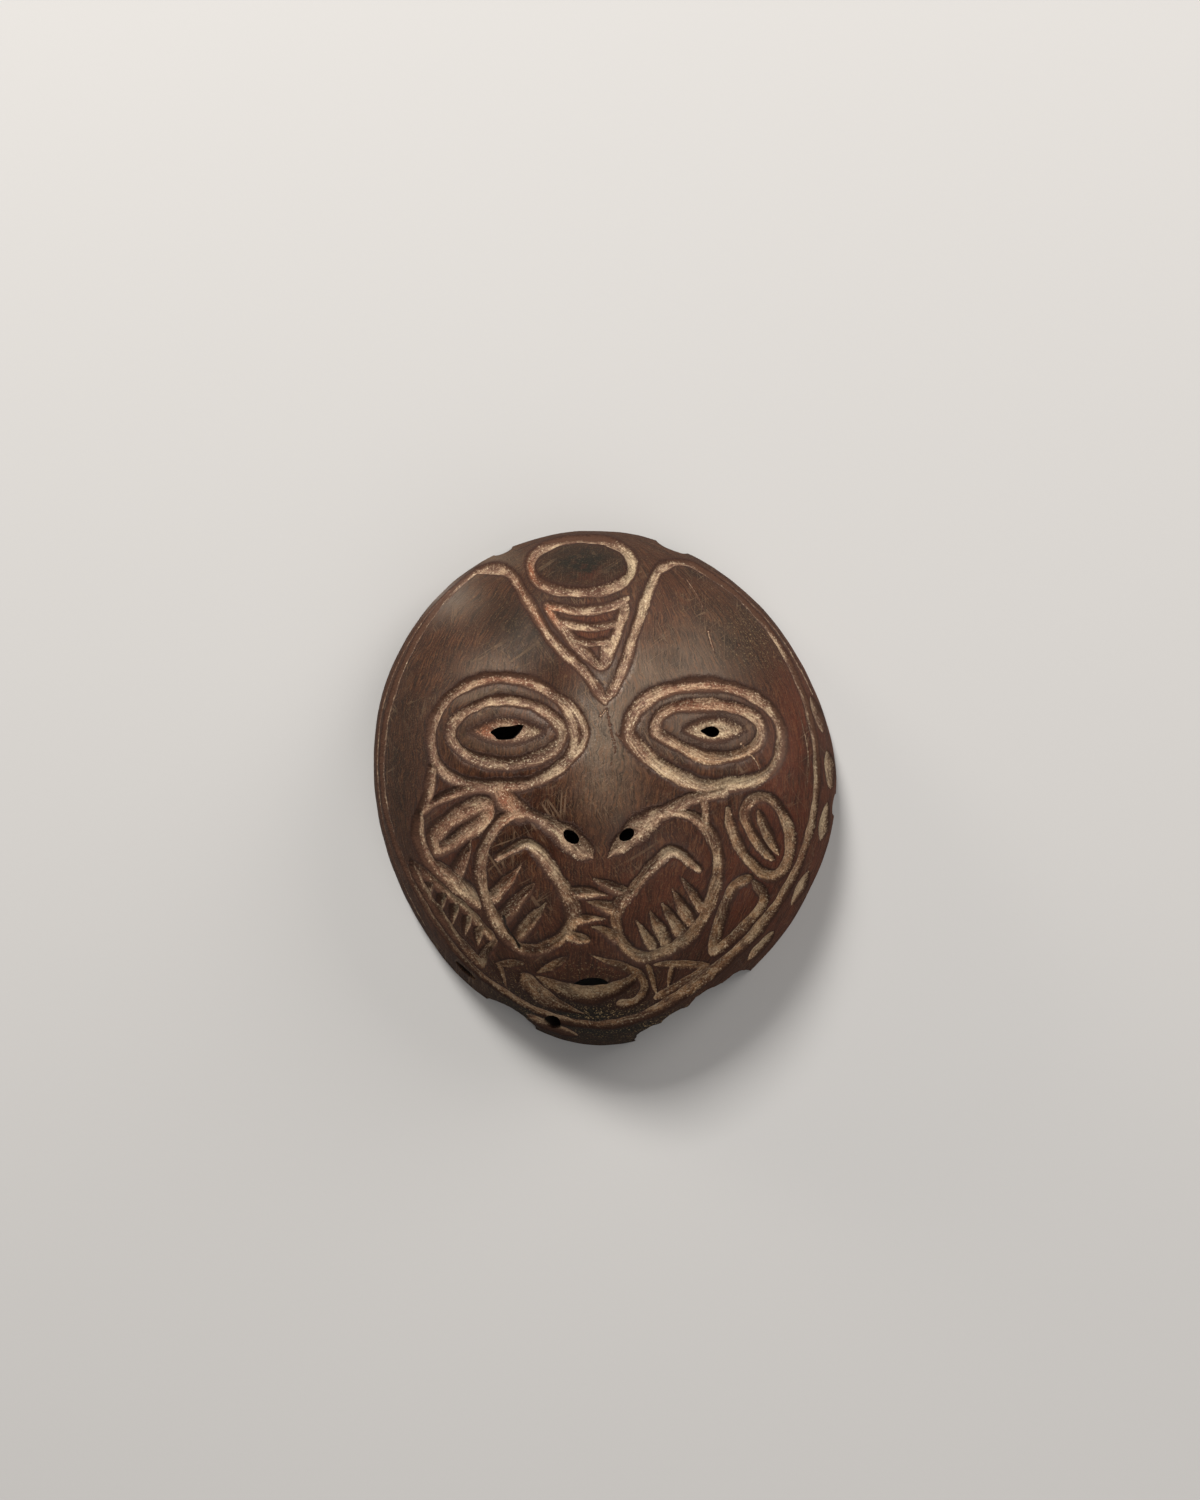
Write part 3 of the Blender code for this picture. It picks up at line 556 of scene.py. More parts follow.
# %% Scratches and fine cracks
cut(0.34, tooth, (20.25, 52.5), (22.75, 48.5), (24.25, 45.25), (25.0, 42.0))
cut(0.50, leaf, (25.5, 40.0), (26.25, 36.75), (27.25, 33.5))
cut(0.36, leaf, (32.25, 34.25), (33.0, 35.0), (34.0, 36.75))
cut(0.34, tooth, (0.5, 19.75), (-1.0, 18.0), (-2.5, 16.5))
cut(0.34, tooth, (0.5, 19.5), (1.5, 14.5), (2.5, 9.25), (1.5, 6.0))
cut(0.30, leaf, (1.5, 14.5), (5.5, 11.0), (8.5, 9.5))
cut(0.40, leaf, (-25.75, -32.0), (-24.0, -36.0), (-21.5, -40.75))
cut(0.30, leaf, (33.0, 12.0), (37.5, 6.5), (38.5, 3.0))
cut(0.30, leaf, (48.0, 20.0), (50.5, 10.0), (50.5, 0.0))
print(len(strokes), "strokes")

# %% [markdown]
# ## Walking the gouge along each stroke
#
# A drawn stroke is smooth, and a carved one isn't: the hand wavers a little, the cut swells and
# narrows, and each push of the gouge leaves a shallow scallop. All of that follows from the
# distance walked along the stroke, so the mesh gets it from a few sines.

# %% Sample the strokes
WALK_STEP = 0.8
WAVER = 0.14
SWELL = 0.09
GROOVE_DEPTH = 1.25
CUT_PROPORTION = 0.48
SCALLOP_LENGTH = 3.1
SCALLOP = 0.10
RUN_LENGTH = 14


def walk(points, closed):
    """Even steps along the smooth curve through the drawn points, and the distance walked."""
    count = len(points)
    spans = count if closed else count - 1
    place = np.linspace(0, spans, spans * 16 + 1)
    start = np.minimum(place.astype(int), spans - 1)
    picks = [start + k for k in (-1, 0, 1, 2)]
    picks = [pick % count if closed else np.clip(pick, 0, count - 1) for pick in picks]
    fine = smooth(*(points[pick] for pick in picks), (place - start)[:, None])
    gone = np.concatenate(([0.0], np.cumsum(np.hypot(*np.diff(fine, axis=0).T))))
    stops = np.linspace(0, gone[-1], max(int(gone[-1] / WALK_STEP), 6) + 1)
    return np.column_stack([np.interp(stops, gone, fine[:, axis]) for axis in (0, 1)]), stops


def gouge_runs(number, width, along, points, closed):
    """Short runs of a stroke: its path, half its width and its depth, in drawn millimetres."""
    path, gone = walk(points, closed)
    heading = np.gradient(path, axis=0)
    side = np.column_stack((-heading[:, 1], heading[:, 0])) / np.hypot(*heading.T)[:, None]
    phase = 2.4 * number
    fade = np.ones(len(gone)) if closed else np.minimum(1.0, np.minimum(gone, gone[-1] - gone) / 3)
    waver = np.sin(gone / 1.7 + phase) * 0.5 + np.sin(gone / 0.83 + 2 * phase) * 0.25
    path = path + side * (waver * WAVER * fade * min(width / 2, 1.0))[:, None]
    swell = 1 + SWELL * (np.sin(gone / 2.3 + 1.3 * phase) + 0.6 * np.sin(gone / 0.9 + phase))
    half = width / 2 * along(gone / gone[-1]) * swell
    scallop = 1 - SCALLOP * (1 - np.abs(np.sin(math.pi * gone / SCALLOP_LENGTH + phase)))
    depth = np.minimum(GROOVE_DEPTH, 2 * half * CUT_PROPORTION) * scallop
    depth *= 1 + 0.12 * np.sin(gone / 5.0 + phase)
    for first in range(0, len(path) - 1, RUN_LENGTH):
        stop = first + RUN_LENGTH + 1
        yield path[first:stop], half[first:stop], np.maximum(depth[first:stop], 0.05)


runs = [run for number, stroke in enumerate(strokes) for run in gouge_runs(number, *stroke)]
print(len(runs), "runs of the gouge")


# %% Read the carving at any drawn point
FAR = -6.0
EASED_EDGE = 0.07
WALL_CURVE = 2.0


def gouged(drawn):
    """How deep the gouge went and how far inside the nearest groove's edge each point lies, both
    in millimetres, that distance as a share of the groove's half width, and the side of the
    groove's middle. The second and third are negative outside the grooves."""
    deepest = np.full(len(drawn), -1.0)
    inside = np.full(len(drawn), FAR)
    bed = np.full(len(drawn), FAR)
    side = np.zeros(len(drawn))
    for path, half, depth in runs:
        margin = half.max() - FAR / 2
        near = (drawn > path.min(0) - margin) & (drawn < path.max(0) + margin)
        near = np.flatnonzero(near.all(axis=1))
        if not len(near):
            continue
        start, step = path[:-1], np.diff(path, axis=0)
        offset = drawn[near][:, None, :] - start
        t = np.clip((offset * step).sum(-1) / np.maximum((step * step).sum(-1), 1e-9), 0, 1)
        gap = np.hypot(*np.moveaxis(offset - t[..., None] * step, -1, 0))
        reach = half[:-1] + t * np.diff(half)
        nearest = (gap - reach).argmin(1)
        rows = np.arange(len(near))
        gap, reach, t = gap[rows, nearest], reach[rows, nearest], t[rows, nearest]
        offset, heading = offset[rows, nearest], step[nearest]
        turned = heading[:, 0] * offset[:, 1] - heading[:, 1] * offset[:, 0]
        deep = depth[nearest] + t * (depth[nearest + 1] - depth[nearest])
        reach = np.maximum(reach, 0.05)
        inside[near] = np.maximum(inside[near], reach - gap)
        side[near] = np.where(1 - gap / reach > bed[near], np.sign(turned), side[near])
        bed[near] = np.maximum(bed[near], 1 - gap / reach)
        deepest[near] = np.maximum(deepest[near], deep * (1 - (gap / reach) ** WALL_CURVE))
    return (deepest + np.sqrt(deepest ** 2 + EASED_EDGE ** 2)) / 2, inside, bed, side


# %% [markdown]
# ## A finer mesh where the gouge went
#
# Splitting every triangle until the groove edges look crisp would take a million of them. The
# polished fields need few, so edges are split only inside the grooves, and once more in a narrow
# band along their edges. New vertices lie on flat triangles, so each pass ends by putting them
# back on the dome.

# %% Split edges near the cuts
OUTER_LEVEL = 0.985
INNER_LEVEL = 0.935
GROOVE_MARGIN = 0.45
EDGE_BAND = 0.26


def settle(mesh):
    """Moves the outer face's vertices on to the dome exactly."""
    places = coordinates(mesh)
    drawn, level, tilt = read_shell(places)
    outer = level > OUTER_LEVEL
    places[outer] = shell_points(azimuths(drawn[outer]), np.minimum(tilt[outer], RIM_TILT))
    set_coordinates(mesh, places)


def refine(mesh, low, high):
    """Splits the edges of the outer face that lie between two distances inside the nearest groove's
    edge, keeps to triangles, and settles the mesh."""
    drawn, level, _ = read_shell(coordinates(mesh))
    inside = gouged(drawn)[1]
    wanted = (inside > low) & (inside < high) & (level > OUTER_LEVEL)
    bm = bmesh.new()
    bm.from_mesh(mesh)
    split = [edge for edge in bm.edges if wanted[edge.verts[0].index] and wanted[edge.verts[1].index]]
    bmesh.ops.subdivide_edges(bm, edges=split, cuts=1)
    bmesh.ops.triangulate(bm, faces=[face for face in bm.faces if len(face.verts) > 3])
    bm.to_mesh(mesh)
    bm.free()
    settle(mesh)


# The first pass splits nothing and only makes triangles of what the Booleans left.
for low, high in ((math.inf, math.inf), (-GROOVE_MARGIN, math.inf), (-EDGE_BAND, 1.5 * EDGE_BAND)):
    refine(shell.data, low, high)
print("refined to", len(shell.data.polygons), "faces")

# %% [markdown]
# ## Pressing the carving in
#
# Now each vertex moves inwards along the dome's own normal. The almond dishes round the
# eyeholes, the unevenness left by scraping and the marks of the gouge are added to the grooves.

# %% Displace the outer face
DISHES = (((-24.25, 14.1), (10.3, 3.3), 1.1), ((26.9, 14.5), (8.6, 3.4), 1.0))
UNEVEN = 0.10
GOUGE_MARKS = 0.07
TORN = 0.25

# The last bit of wall above the sawn rim isn't torn, so that the rim stays flat.
RIM_KEPT = 0.0008


def dish_depth(drawn):
    """The almond dishes: how deep, and how far inside their edge as a share of the half height."""
    deep = np.zeros(len(drawn))
    inside = np.full(len(drawn), FAR)
    for (x, y), (half_length, half_height), depth in DISHES:
        u = (drawn[:, 0] - x) / half_length
        v = (drawn[:, 1] - y) / half_height
        fill = np.clip(1 - u ** 2, 0, None) ** 1.2 - np.abs(v)
        deep = np.maximum(deep, depth * np.clip(fill, 0, 1) ** 0.45)
        inside = np.maximum(inside, np.where(np.abs(u) < 1, fill, FAR))
    return deep, inside


places = coordinates(shell.data)
drawn, level, tilt = read_shell(places)
skin = np.clip((level - INNER_LEVEL) / (OUTER_LEVEL - INNER_LEVEL), 0, 1)
deep, _, bed, side = gouged(drawn)
dished, dish_bed = dish_depth(drawn)
bed = np.maximum(bed, dish_bed)
uneven = UNEVEN * (1 + ripple(places, 0.017) + 0.5 * ripple(places, 0.007, 2))
marks = GOUGE_MARKS * np.clip(2 * bed, 0, 1) * (ripple(places, 0.0016, 4) + ripple(places, 0.0009, 7))
torn = TORN * (1 - skin) * (level > INNER_LEVEL - 0.04) * ripple(places, 0.0022, 5)
total = (np.maximum(deep, dished) + uneven + marks) * MM * skin + torn * MM * (places[:, 2] > RIM_KEPT)
places -= face_normals(drawn) * total[:, None]
places[:, 2] = np.clip(places[:, 2], 0, cad_high[2])
set_coordinates(shell.data, places)


# %% Marks for the material
# Soft round marks on the drawing: x, y, spread across, spread along and strength of each.
SOFT_MARKS = {
    # Where the earth has fallen out of the cuts, has turned rusty, or is pale, grimed or golden.
    "emptied": (
        (-52, 12, 9, 40, 1.0), (-40, 44, 12, 12, 0.9), (34, 46, 14, 12, 1.0), (48, 20, 6, 16, 0.7),
        (-12, -61, 10, 5, 0.4), (-42, -36, 8, 12, 0.6), (-52, -18, 6, 12, 0.6), (2, 10, 4, 9, 1.0),
        (-24, -36, 2, 4, 1.0), (-5, 63, 12, 3, 0.8), (-12, 42, 14, 14, 0.3), (26, 27, 16, 2.5, 0.6),
        (-26, 28, 14, 2.5, 0.5), (44, 4, 4, 8, 0.5), (-22, 2, 14, 4, 0.3), (-7, 14, 4, 10, 0.3),
        (-20, 48, 5, 8, 0.3), (27, 54, 8, 5, 0.7)),
    "rust": (
        (-14, 44, 4, 3, 1.0), (-31, 14, 3, 3, 1.0), (-24, 17.5, 8, 1.5, 0.7), (-26, -7, 6, 3, 0.6),
        (-23, -22, 5, 5, 0.5), (48, -20, 3, 5, 0.6), (14, 2, 8, 3, 0.4), (-19, 54.5, 2, 2.5, 0.9),
        (25, 26, 16, 3, 0.45), (27, 20.5, 12, 2.5, 0.5), (-26, 27, 14, 3, 0.4), (-24.5, -2, 4, 3, 0.8),
        (-40, -14, 9, 14, 0.3), (36, -8, 3, 8, 0.3), (-20, 48, 4, 8, 0.5)),
    "pale": (
        (27, 14.3, 8, 4, 0.6), (-15, 14, 4, 3, 0.8), (-8, -15, 6, 4, 0.2), (4, -15, 5, 4, 0.25),
        (55, 6, 3, 6, 0.8), (55, -8, 3, 6, 0.8), (49, -26, 4, 6, 0.8), (40, -39, 4, 5, 0.8),
        (7, 56, 3, 6, 0.9), (10, 48, 4, 6, 0.6), (-36, -30, 6, 6, 0.6), (14, 3, 10, 3, 0.8),
        (34, 2, 9, 4, 0.9), (-18, -14, 5, 2, 0.6), (19, -16, 5, 2.5, 0.5), (-4, -51, 11, 3, 0.5),
        (14, -40, 11, 4, 0.5), (40, -16, 8, 8, 0.3)),
    "grimed": ((-26, 5.5, 9, 3, 0.7), (-20, 47, 5, 9, 0.6), (-9, 12, 5, 9, 0.4), (-22, 0.5, 12, 3, 0.4)),
    "golden": ((4, -46, 40, 20, 1.0), (40, -20, 14, 22, 0.8), (25, 6, 16, 6, 0.5)),

    # Where the skin is redder, sooty, greyed by hands and painted with sheen, pitted with dust, or has lost
    # its polish.
    "red": (
        (49, 6, 11, 30, 1.0), (20, -28, 14, 12, 0.4), (38, -25, 12, 18, 0.6), (-40, -12, 9, 10, 0.4),
        (-12, 30, 8, 5, 0.3), (16, 44, 9, 9, 0.1), (-4, 40, 8, 7, 0.5), (-3.5, 54.2, 4, 2.5, 1.4),
        (0, -40, 44, 22, 0.3), (0, -3, 40, 60, 0.1)),
    "soot": (
        (-5, 56, 11, 6, 1.2), (-13, 27, 7, 6, 0.5), (0, -60, 24, 6, 1.2), (-24, -55, 8, 6, 0.8),
        (-8, -54, 8, 4, 0.6), (-16, 38, 8, 7, 0.6), (-24, 42, 8, 8, 0.6), (36, 36, 9, 9, 0.4),
        (-50, 5, 6, 25, 0.4), (30, -42, 10, 8, 0.3)),
    # Partly real wear, partly painted sheen: lighter grey skin where highlights and reflections fall, on
    # the nose bridge, brow, eye-ring ridges and upper left rim.
    "wear_and_sheen": (
        (0, 14, 8, 9, 1.25), (1, -2, 9, 9, 0.5), (9, 29, 8, 6, 0.7), (-38, 47, 7, 5, 0.9),
        (-27, 57, 7, 3, 0.7), (-27, 30, 10, 4, 0.5), (24, 33, 13, 10, 0.6), (-28, 22.5, 9, 2, 0.9),
        (18, 22, 12, 3, 0.7), (26, 14, 12, 6, 0.7), (-25, 13, 12, 6, 0.5)),
    "pitted": (
        (-8, -54, 12, 5, 1.2), (6, -58, 14, 5, 1.2), (-24, -50, 8, 6, 0.5), (38, 38, 8, 8, 0.4),
        (-2, -45, 8, 3, 0.4)),
    "dull": (
        (-5, 56, 12, 7, 0.4), (-4, -50, 14, 6, 0.5), (0, -34, 44, 18, 0.7), (42, 0, 12, 30, 0.4),
        (-4, 40, 10, 8, 0.9), (-13, 27, 8, 7, 0.9), (-26, 42, 9, 8, 0.5), (0, 18, 8, 8, 0.15),
        (-38, 47, 8, 6, -0.8)),

    # Where fingers have rubbed the earth itself to a shine.
    "gleam": (
        (30, 3, 12, 5, 1.0), (43, 10, 5, 8, 0.8), (14, 4, 8, 4, 1.0), (18, -16, 7, 3, 0.9),
        (-18, -15, 6, 3, 0.8), (8, -41, 9, 3, 0.9), (-6, 14, 4, 8, 0.4), (32, -25, 5, 4, 0.8),
        (-33, 2, 8, 4, 0.4), (10, 26, 10, 4, 0.6), (-38, 47, 10, 8, 0.6), (-14, -8, 5, 3, 0.6)),

    # The dark crack, and painted shade on the walls of the holes.
    "crack": [(x, y, 0.3, 0.5, 1.0) for x, y in np.linspace((-25.6, -32.5), (-21.4, -40.5), 20)],
    "hole_shade": (
        (-24.5, 14, 7, 5, 3), (26.5, 14.2, 6, 5, 3), (-8.5, -12.2, 4, 4, 3), (5.5, -11.8, 4, 4, 3),
        (-3.2, -49.5, 7, 4, 3), (-13.5, -59.5, 4, 4, 3), (-36.5, -47, 5, 5, 3)),
}
PITTED_EVERYWHERE = 0.12
DULL_FROM = 0.68
DULL_OVER = 0.2


def store(mesh, name, values):
    """Keeps one number for each vertex under a name that a material can read."""
    layer = mesh.attributes.new(name, "FLOAT", "POINT")
    layer.data.foreach_set("value", values.astype(np.float32))


def spots(drawn, marks):
    """How strong a set of soft marks is at each point."""
    total = np.zeros(len(drawn))
    for x, y, across, along, strength in marks:
        total += strength * np.exp(-((drawn[:, 0] - x) / across) ** 2 - ((drawn[:, 1] - y) / along) ** 2)
    return total


mesh = shell.data
store(mesh, "skin", skin)
store(mesh, "bed", np.clip(bed, -1, 1))
store(mesh, "across", np.clip(1 - bed, 0, 2) * side)
near_rim = np.clip((rim_share(drawn) - DULL_FROM) / DULL_OVER, 0, 1)
beneath = {"pitted": PITTED_EVERYWHERE, "dull": near_rim}
for name, marks in SOFT_MARKS.items():
    store(mesh, name, beneath.get(name, 0.0) + spots(drawn, marks))
mesh.shade_smooth()
mesh.set_sharp_from_angle(angle=math.radians(70))
print("carved", len(mesh.polygons), "faces")

# %% [markdown]
# ## Polished coconut shell
#
# Coconut shell is a hard, dense wood of short fibre strands that run from pole to pole. Scraped
# and handled it takes a low polish, dark brown with fine lighter and darker hairs. They follow
# meridians of the nut, so the pattern reads the angle round the nut's long axis, and not the
# plain position. The cut walls are matt and brown, and the earth rubbed into the bottoms is pale
# and grainy.


# %% Colours and one helper for nodes
def colour(code):
    """sRGB hex to the linear colour that Blender mixes."""
    parts = [int(code[k:k + 2], 16) / 255 for k in (1, 3, 5)]
    return (*[p / 12.92 if p <= 0.04045 else ((p + 0.055) / 1.055) ** 2.4 for p in parts], 1.0)


def add(tree, kind, inputs=None, out=0, **settings):
    """Adds a node and gives its output. Inputs are values or sockets by name or number."""
    made = tree.nodes.new("ShaderNode" + kind)
    for name, value in settings.items():
        setattr(made, name, value)
    for name, value in (inputs or {}).items():
        if isinstance(value, bpy.types.NodeSocket):
            tree.links.new(value, made.inputs[name])
        else:
            made.inputs[name].default_value = value
    return made.outputs[out]


# A Mix node keeps its colour sockets at these places.
MIX_A, MIX_B, MIX_OUT = 6, 7, 2

# The nut's radius, which turns the angle round it into a length, and how far its fibres are drawn
# out and sway.
FIBRE_RADIUS = 48.0
FIBRE_STRETCH = 0.07
FIBRE_SWAY = 9.0

# How far the gouge's marks are drawn out along a cut, and how close they lie across it.
GOUGE_STRETCH = 0.22
GOUGE_PITCH = 2.2

# Turn in degrees, spacing and length in millimetres, and thickness as a share of the noise.
SCRATCHES = ((4.0, 1.6, 50.0, 0.010), (-33.0, 2.2, 40.0, 0.009), (57.0, 2.6, 36.0, 0.008))

# Spacing in millimetres, detail and roughness: of the broad noise, of those that lie in all
# directions, of those that run with the fibres and of those that run with the gouge.
CLOUD = (15.0, 5.0, 0.6)
SCATTERED = {"patch": (5.5, 3.0, 0.55), "mottle": (2.6, 5.0, 0.7), "grain": (0.55, 2.0, 0.8)}
FIBROUS = {"band": (3.5, 4.0, 0.65), "fibre": (0.4, 3.0, 0.7), "hair": (0.25, 1.0, 0.5)}
GOUGED = {"stria": (1.0, 4.0, 0.65), "streak": (0.435, 2.0, 0.7)}
MARKS = ("skin", "bed", "across", *SOFT_MARKS)
RAGGED = 0.18


# %% Patterns that every part of the material reads
def scratch_lines(tree, place):
    """Fine scratches in a few directions. Each set is the contour of a noise stretched one way."""
    total = 0.0
    for turn, spacing, length, thickness in SCRATCHES:
        turned = add(tree, "VectorRotate", {"Vector": place, "Angle": math.radians(turn)},
                     rotation_type="Z_AXIS")
        drawn_out = add(tree, "VectorMath", {0: turned, 1: (1 / spacing, 1 / length, 0.0)},
                        operation="MULTIPLY")
        noise = add(tree, "TexNoise", {"Vector": drawn_out, "Scale": 1.0, "Detail": 1.0})
        gap = add(tree, "Math", {0: noise, 1: 0.5, 2: thickness}, operation="COMPARE")
        total = add(tree, "Math", {0: total, 1: gap}, operation="MAXIMUM")
    return total


def shell_patterns(tree):
    """Noises at real sizes in millimetres, and the marks stored on the mesh."""
    seen = {name: add(tree, "Attribute", out="Fac", attribute_name=name) for name in MARKS}
    place = add(tree, "TexCoord", out="Object")
    place = add(tree, "VectorMath", {0: place, "Scale": 1 / MM}, operation="SCALE")
    spacing, detail, roughness = CLOUD
    seen["cloud"] = add(tree, "TexNoise", {"Vector": place, "Scale": 1 / spacing, "Detail": detail,
                                           "Roughness": roughness})

    # The angle round the nut, made a length and swayed a little, runs across the fibres.
    x, y, z = (add(tree, "SeparateXYZ", {0: place}, out=axis) for axis in "XYZ")
    turn = add(tree, "Math", {0: x, 1: z}, operation="ARCTAN2")
    arc = add(tree, "Math", {0: turn, 1: FIBRE_RADIUS}, operation="MULTIPLY")
    arc = add(tree, "Math", {0: seen["cloud"], 1: FIBRE_SWAY, 2: arc}, operation="MULTIPLY_ADD")
    run = add(tree, "Math", {0: y, 1: FIBRE_STRETCH}, operation="MULTIPLY")
    fibrous = add(tree, "CombineXYZ", {0: arc, 1: run})

    # The stored distance from the middle of a cut runs across the gouge's marks.
    lengthwise = add(tree, "VectorMath", {0: place, "Scale": GOUGE_STRETCH}, operation="SCALE")
    sideways = add(tree, "CombineXYZ", {0: seen["across"], 1: seen["across"]})
    striped = add(tree, "VectorMath", {0: sideways, 1: (GOUGE_PITCH, -GOUGE_PITCH, 0.0), 2: lengthwise},
                  operation="MULTIPLY_ADD")

    for vector, kinds in ((place, SCATTERED), (fibrous, FIBROUS), (striped, GOUGED)):
        for name, (spacing, detail, roughness) in kinds.items():
            seen[name] = add(tree, "TexNoise", {"Vector": vector, "Scale": 1 / spacing, "Detail": detail,
                                                "Roughness": roughness})

    # Scratches only in places, smudged soot, specks of dust, and redness that follows the fibres.
    scattered = add(tree, "MapRange", {0: seen["cloud"], 1: 0.5, 2: 0.64})
    smudged = add(tree, "MapRange", {0: seen["mottle"], 1: 0.35, 2: 0.6, 3: 0.5, 4: 1.0})
    specks = add(tree, "MapRange", {0: seen["grain"], 1: 0.58, 2: 0.7})
    for name, first, second in (("scratch", scratch_lines(tree, place), scattered),
                                ("sooty", seen["soot"], smudged), ("dusty", specks, seen["pitted"])):
        seen[name] = add(tree, "Math", {0: first, 1: second}, operation="MULTIPLY")
    seen["redness"] = add(tree, "Math", {0: seen["red"], 1: seen["band"], 2: 0.05},
                          operation="MULTIPLY_ADD")

    # How far a spot lies inside a cut, with an edge made ragged by the grains.
    raggedness = add(tree, "MapRange", {0: seen["grain"], 1: 0.25, 2: 0.75, 3: -RAGGED, 4: RAGGED})
    seen["ragged"] = add(tree, "Math", {0: seen["bed"], 1: raggedness}, operation="ADD")
    return seen


# %% Coats of colour
# A coat is a pattern, the low and high values between which it shows, its strength and its colour.
# The skin is dark brown, mottled and finely fibrous, redder to one side, greyer where handled and where
# sheen is painted, and stained beside the cuts.
SKIN = "#190d07"
SKIN_COATS = (
    ("mottle", 0.3, 0.7, 1.0, "#3d2316"),
    ("band", 0.56, 0.36, 0.6, "#130a06"),
    ("redness", 0.0, 1.0, 1.0, "#5e2615"),
    # Greyer skin from wear, with painted sheen and reflections.
    ("wear_and_sheen", 0.0, 1.0, 0.75, "#625548"),
    ("fibre", 0.5, 0.64, 0.5, "#644129"),
    ("fibre", 0.5, 0.36, 0.65, "#0f0805"),
    ("cloud", 0.52, 0.68, 0.6, "#150c08"),
    ("scratch", 0.0, 1.0, 0.32, "#8a7058"),
    ("sooty", 0.0, 1.0, 1.0, "#0c0b07"),
    ("dusty", 0.0, 1.0, 1.0, "#a98f68"),
    ("ragged", -0.45, -0.05, 0.65, "#2a1410"),
)

# The earth is tan and brown in patches and faint streaks, with dark and light grains.
EARTH = "#63453a"
EARTH_COATS = (
    ("mottle", 0.4, 0.6, 0.8, "#977b64"),
    ("golden", 0.0, 1.0, 0.55, "#ae7f4e"),
    ("patch", 0.53, 0.4, 0.8, "#4a2e24"),
    ("patch", 0.52, 0.66, 0.6, "#b8a184"),
    ("stria", 0.5, 0.36, 0.5, "#4a3024"),
    ("stria", 0.55, 0.68, 0.5, "#b8a284"),
    ("rust", 0.0, 1.0, 0.7, "#874b2e"),
    ("pale", 0.0, 1.0, 0.6, "#b3a284"),
    ("grimed", 0.0, 1.0, 0.6, "#3a261b"),
    ("streak", 0.46, 0.34, 0.5, "#37231a"),
    ("streak", 0.57, 0.7, 0.5, "#c9b795"),
    ("grain", 0.47, 0.34, 0.65, "#2c1b13"),
    ("grain", 0.58, 0.7, 0.6, "#dccdb0"),
)
CUT_WALL = "#2a160e"
CUT_WALL_COATS = (("ragged", 0.0, 0.25, 1.0, "#442c20"),)
BROKEN = "#2c1c13"
# Broken shell is brown in its fibre bands, and the walls of the holes are painted near black as shade.
BROKEN_COATS = (("band", 0.0, 1.0, 1.0, "#5d432f"), ("hole_shade", 0.0, 1.0, 1.0, "#0d0705"))
CRACK_COATS = (("crack", 0.4, 1.0, 0.95, "#060403"),)


def coats(tree, seen, shade, layers):
    """Lays coats of colour over a shade, which is a colour or a socket."""
    for pattern, low, high, strength, code in layers:
        amount = add(tree, "MapRange", {0: seen[pattern], 1: low, 2: high, 4: strength})
        shade = add(tree, "Mix", {0: amount, MIX_A: shade, MIX_B: colour(code)}, MIX_OUT, data_type="RGBA")
    return shade


# %% The whole material
# The earth ends at this share of a cut's half width, fades over so much on either side of that, and
# leans to one side of the cut by so much.
WALL_SHARE = 0.33
EARTH_FADE = 0.16
LEAN = 0.3

# Polish as roughness, from the glossiest to the dullest of the skin, and of matt places.
GLOSSY, SATIN, MATT = 0.3, 0.5, 0.9


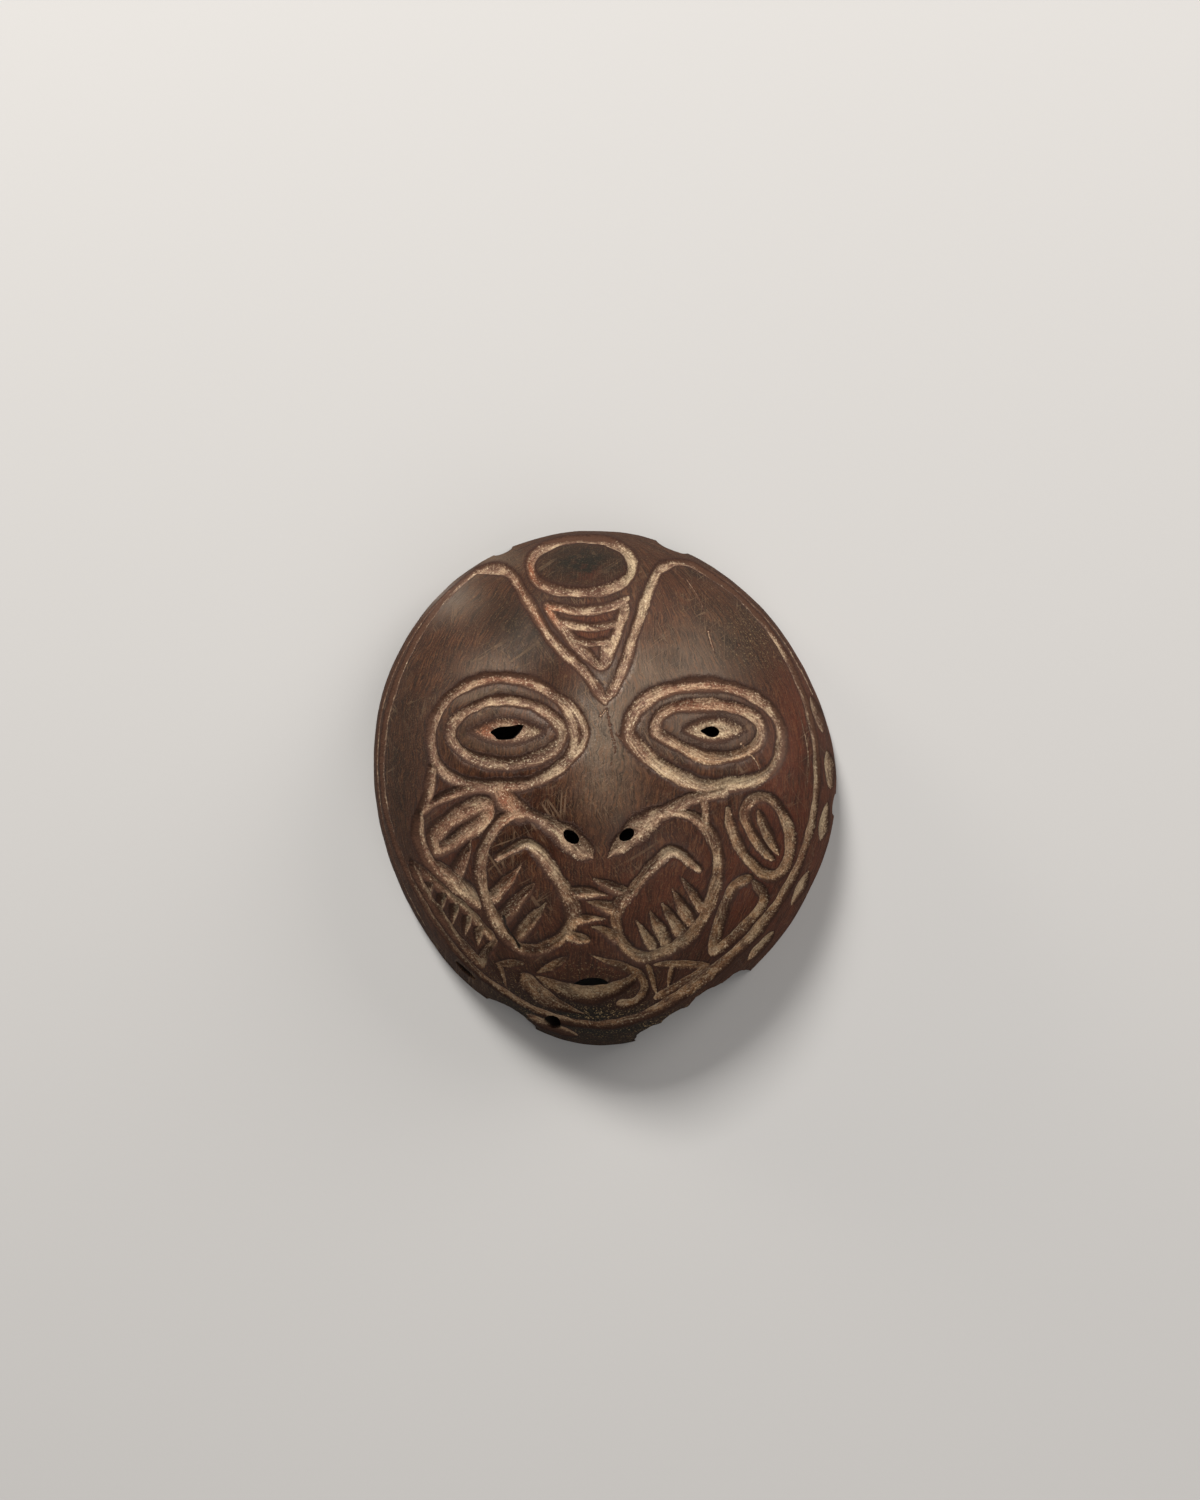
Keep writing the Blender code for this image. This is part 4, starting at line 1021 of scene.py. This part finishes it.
def shell_material():
    """Old polished coconut shell: a satin dark skin, brown cut walls and matt earth below them."""
    material = bpy.data.materials.new("coconut shell, scraped, gouged and rubbed with earth")
    material.use_nodes = True
    tree = material.node_tree
    shader = tree.nodes["Principled BSDF"]
    seen = shell_patterns(tree)

    # Where the cut walls show, and how much earth is left in a cut.
    wall = add(tree, "MapRange", {0: seen["ragged"], 1: -0.1, 2: 0.04})
    lean = add(tree, "MapRange", {0: seen["cloud"], 1: 0.35, 2: 0.65, 3: -LEAN, 4: LEAN})
    left = add(tree, "Math", {0: lean, 1: seen["across"], 2: seen["ragged"]}, operation="MULTIPLY_ADD")
    left = add(tree, "Math", {0: seen["emptied"], 1: -0.6, 2: left}, operation="MULTIPLY_ADD")
    fill = add(tree, "MapRange", {0: left, 1: WALL_SHARE - EARTH_FADE, 2: WALL_SHARE + EARTH_FADE})
    fill = add(tree, "Math", {0: fill, 1: wall}, operation="MULTIPLY")
    bare = add(tree, "MapRange", {0: seen["skin"], 1: 0.95, 2: 0.75})

    # The skin, and over it the walls of the cuts, the earth in them, broken edges and the crack.
    shade = coats(tree, seen, colour(SKIN), SKIN_COATS)
    for amount, under, layers in ((wall, CUT_WALL, CUT_WALL_COATS), (fill, EARTH, EARTH_COATS),
                                  (bare, BROKEN, BROKEN_COATS)):
        over = coats(tree, seen, colour(under), layers)
        shade = add(tree, "Mix", {0: amount, MIX_A: shade, MIX_B: over}, MIX_OUT, data_type="RGBA")
    shade = coats(tree, seen, shade, CRACK_COATS)
    tree.links.new(shade, shader.inputs["Base Color"])

    # The polish: satin on the skin, and lost on the edges of cuts, on earth and on broken shell.
    matt = add(tree, "MapRange", {0: seen["ragged"], 1: -0.22, 2: -0.05, 4: 0.6})
    for duller in (bare, seen["dull"]):
        matt = add(tree, "Math", {0: matt, 1: duller}, operation="MAXIMUM")
    matt = add(tree, "Math", {0: seen["gleam"], 1: -0.7, 2: matt}, operation="MULTIPLY_ADD", use_clamp=True)
    gloss = add(tree, "MapRange", {0: seen["mottle"], 1: 0.3, 2: 0.7, 3: GLOSSY, 4: SATIN})
    gloss = add(tree, "Math", {0: seen["scratch"], 1: 0.15, 2: gloss}, operation="MULTIPLY_ADD")
    rough = add(tree, "Mix", {0: matt, 2: gloss, 3: MATT}, data_type="FLOAT")
    tree.links.new(rough, shader.inputs["Roughness"])
    shader.inputs["Specular IOR Level"].default_value = 0.32
    shader.inputs["Specular Tint"].default_value = colour("#fff0e4")

    # Fine relief: hairs of fibre, shallow unevenness, scratches and grains of earth.
    grains = add(tree, "MapRange", {0: matt, 3: 0.12, 4: 1.0})
    grains = add(tree, "Math", {0: seen["grain"], 1: grains}, operation="MULTIPLY")
    relief = None
    for height, depth in ((seen["hair"], 0.00007), (seen["mottle"], 0.00012), (seen["scratch"], -0.00003),
                          (grains, 0.0004)):
        sockets = {"Height": height, "Strength": 1.0, "Distance": abs(depth)}
        if relief:
            sockets["Normal"] = relief
        relief = add(tree, "Bump", sockets, invert=depth < 0)
    tree.links.new(relief, shader.inputs["Normal"])
    return material


shell.data.materials.clear()
shell.data.materials.append(shell_material())
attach(shell, "root")
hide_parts("mask_shell")

# %% [markdown]
# ## Floor, lights and camera
#
# The mask lies on a plain pale sheet under four soft studio lamps: the strongest above the crown, a
# low one on the viewer's left, a broad one on the right and the broadest, a weak one, below the
# chin. The camera is high above with a long lens, so that the face is seen square on and hardly
# foreshortened.

# %% Floor
FLOOR_SIZE = 4.0

# The rim is flat, so the floor stays a hair below it and the two faces never share a plane.
FLOOR_GAP = 0.0001


def floor_material():
    material = bpy.data.materials.new("matt studio paper")
    material.use_nodes = True
    tree = material.node_tree
    shader = tree.nodes["Principled BSDF"]
    place = add(tree, "TexCoord", out="Object")
    pulp = add(tree, "TexNoise", {"Vector": place, "Scale": 900.0, "Detail": 2.0})
    bump = add(tree, "Bump", {"Height": pulp, "Strength": 0.08, "Distance": 0.0001})
    tree.links.new(bump, shader.inputs["Normal"])
    shader.inputs["Base Color"].default_value = colour("#b0b0b1")
    shader.inputs["Roughness"].default_value = 0.9
    return material


bm = bmesh.new()
bmesh.ops.create_grid(bm, x_segments=1, y_segments=1, size=FLOOR_SIZE / 2)
bmesh.ops.translate(bm, verts=bm.verts, vec=(0, 0, -FLOOR_GAP))
floor_mesh = to_mesh("floor", bm)
floor_mesh.materials.append(floor_material())
floor = new_object("floor", floor_mesh)


# %% Lights
def softbox(name, place, size, power, tint):
    """A square lamp that faces the mask."""
    lamp = bpy.data.lights.new(name, "AREA")
    lamp.shape = "SQUARE"
    lamp.size = size
    lamp.energy = power
    lamp.color = colour(tint)[:3]
    made = new_object(name, lamp)
    made.location = place
    made.rotation_euler = (-Vector(place)).to_track_quat("-Z", "Y").to_euler()


softbox("key", (-0.38, 0.92, 0.9), 0.3, 23.0, "#fffbf4")
softbox("low", (-0.88, 0.74, 0.35), 0.32, 4.0, "#fff2e2")
softbox("side", (0.72, 0.58, 0.5), 0.6, 6.5, "#fff8f0")
softbox("fill", (0.45, -0.75, 0.95), 0.9, 5.0, "#fffaf4")

world = bpy.data.worlds.new("studio")
world.use_nodes = True
background = world.node_tree.nodes["Background"]
background.inputs["Color"].default_value = colour("#d8d8d8")
background.inputs["Strength"].default_value = 0.18
bpy.context.scene.world = world
bpy.context.scene.view_settings.view_transform = "Standard"

# %% Camera
FRAME_HEIGHT = 0.375
LENS = 300.0
SENSOR = 36.0
FRAME_MIDDLE = (-0.00125, 0.0095)

camera_data = bpy.data.cameras.new("camera")
camera_data.lens = LENS
camera_data.sensor_width = SENSOR
camera_data.clip_end = 20.0
camera = new_object("camera", camera_data)
camera.location = (*FRAME_MIDDLE, FRAME_HEIGHT * LENS / SENSOR)
bpy.context.scene.camera = camera
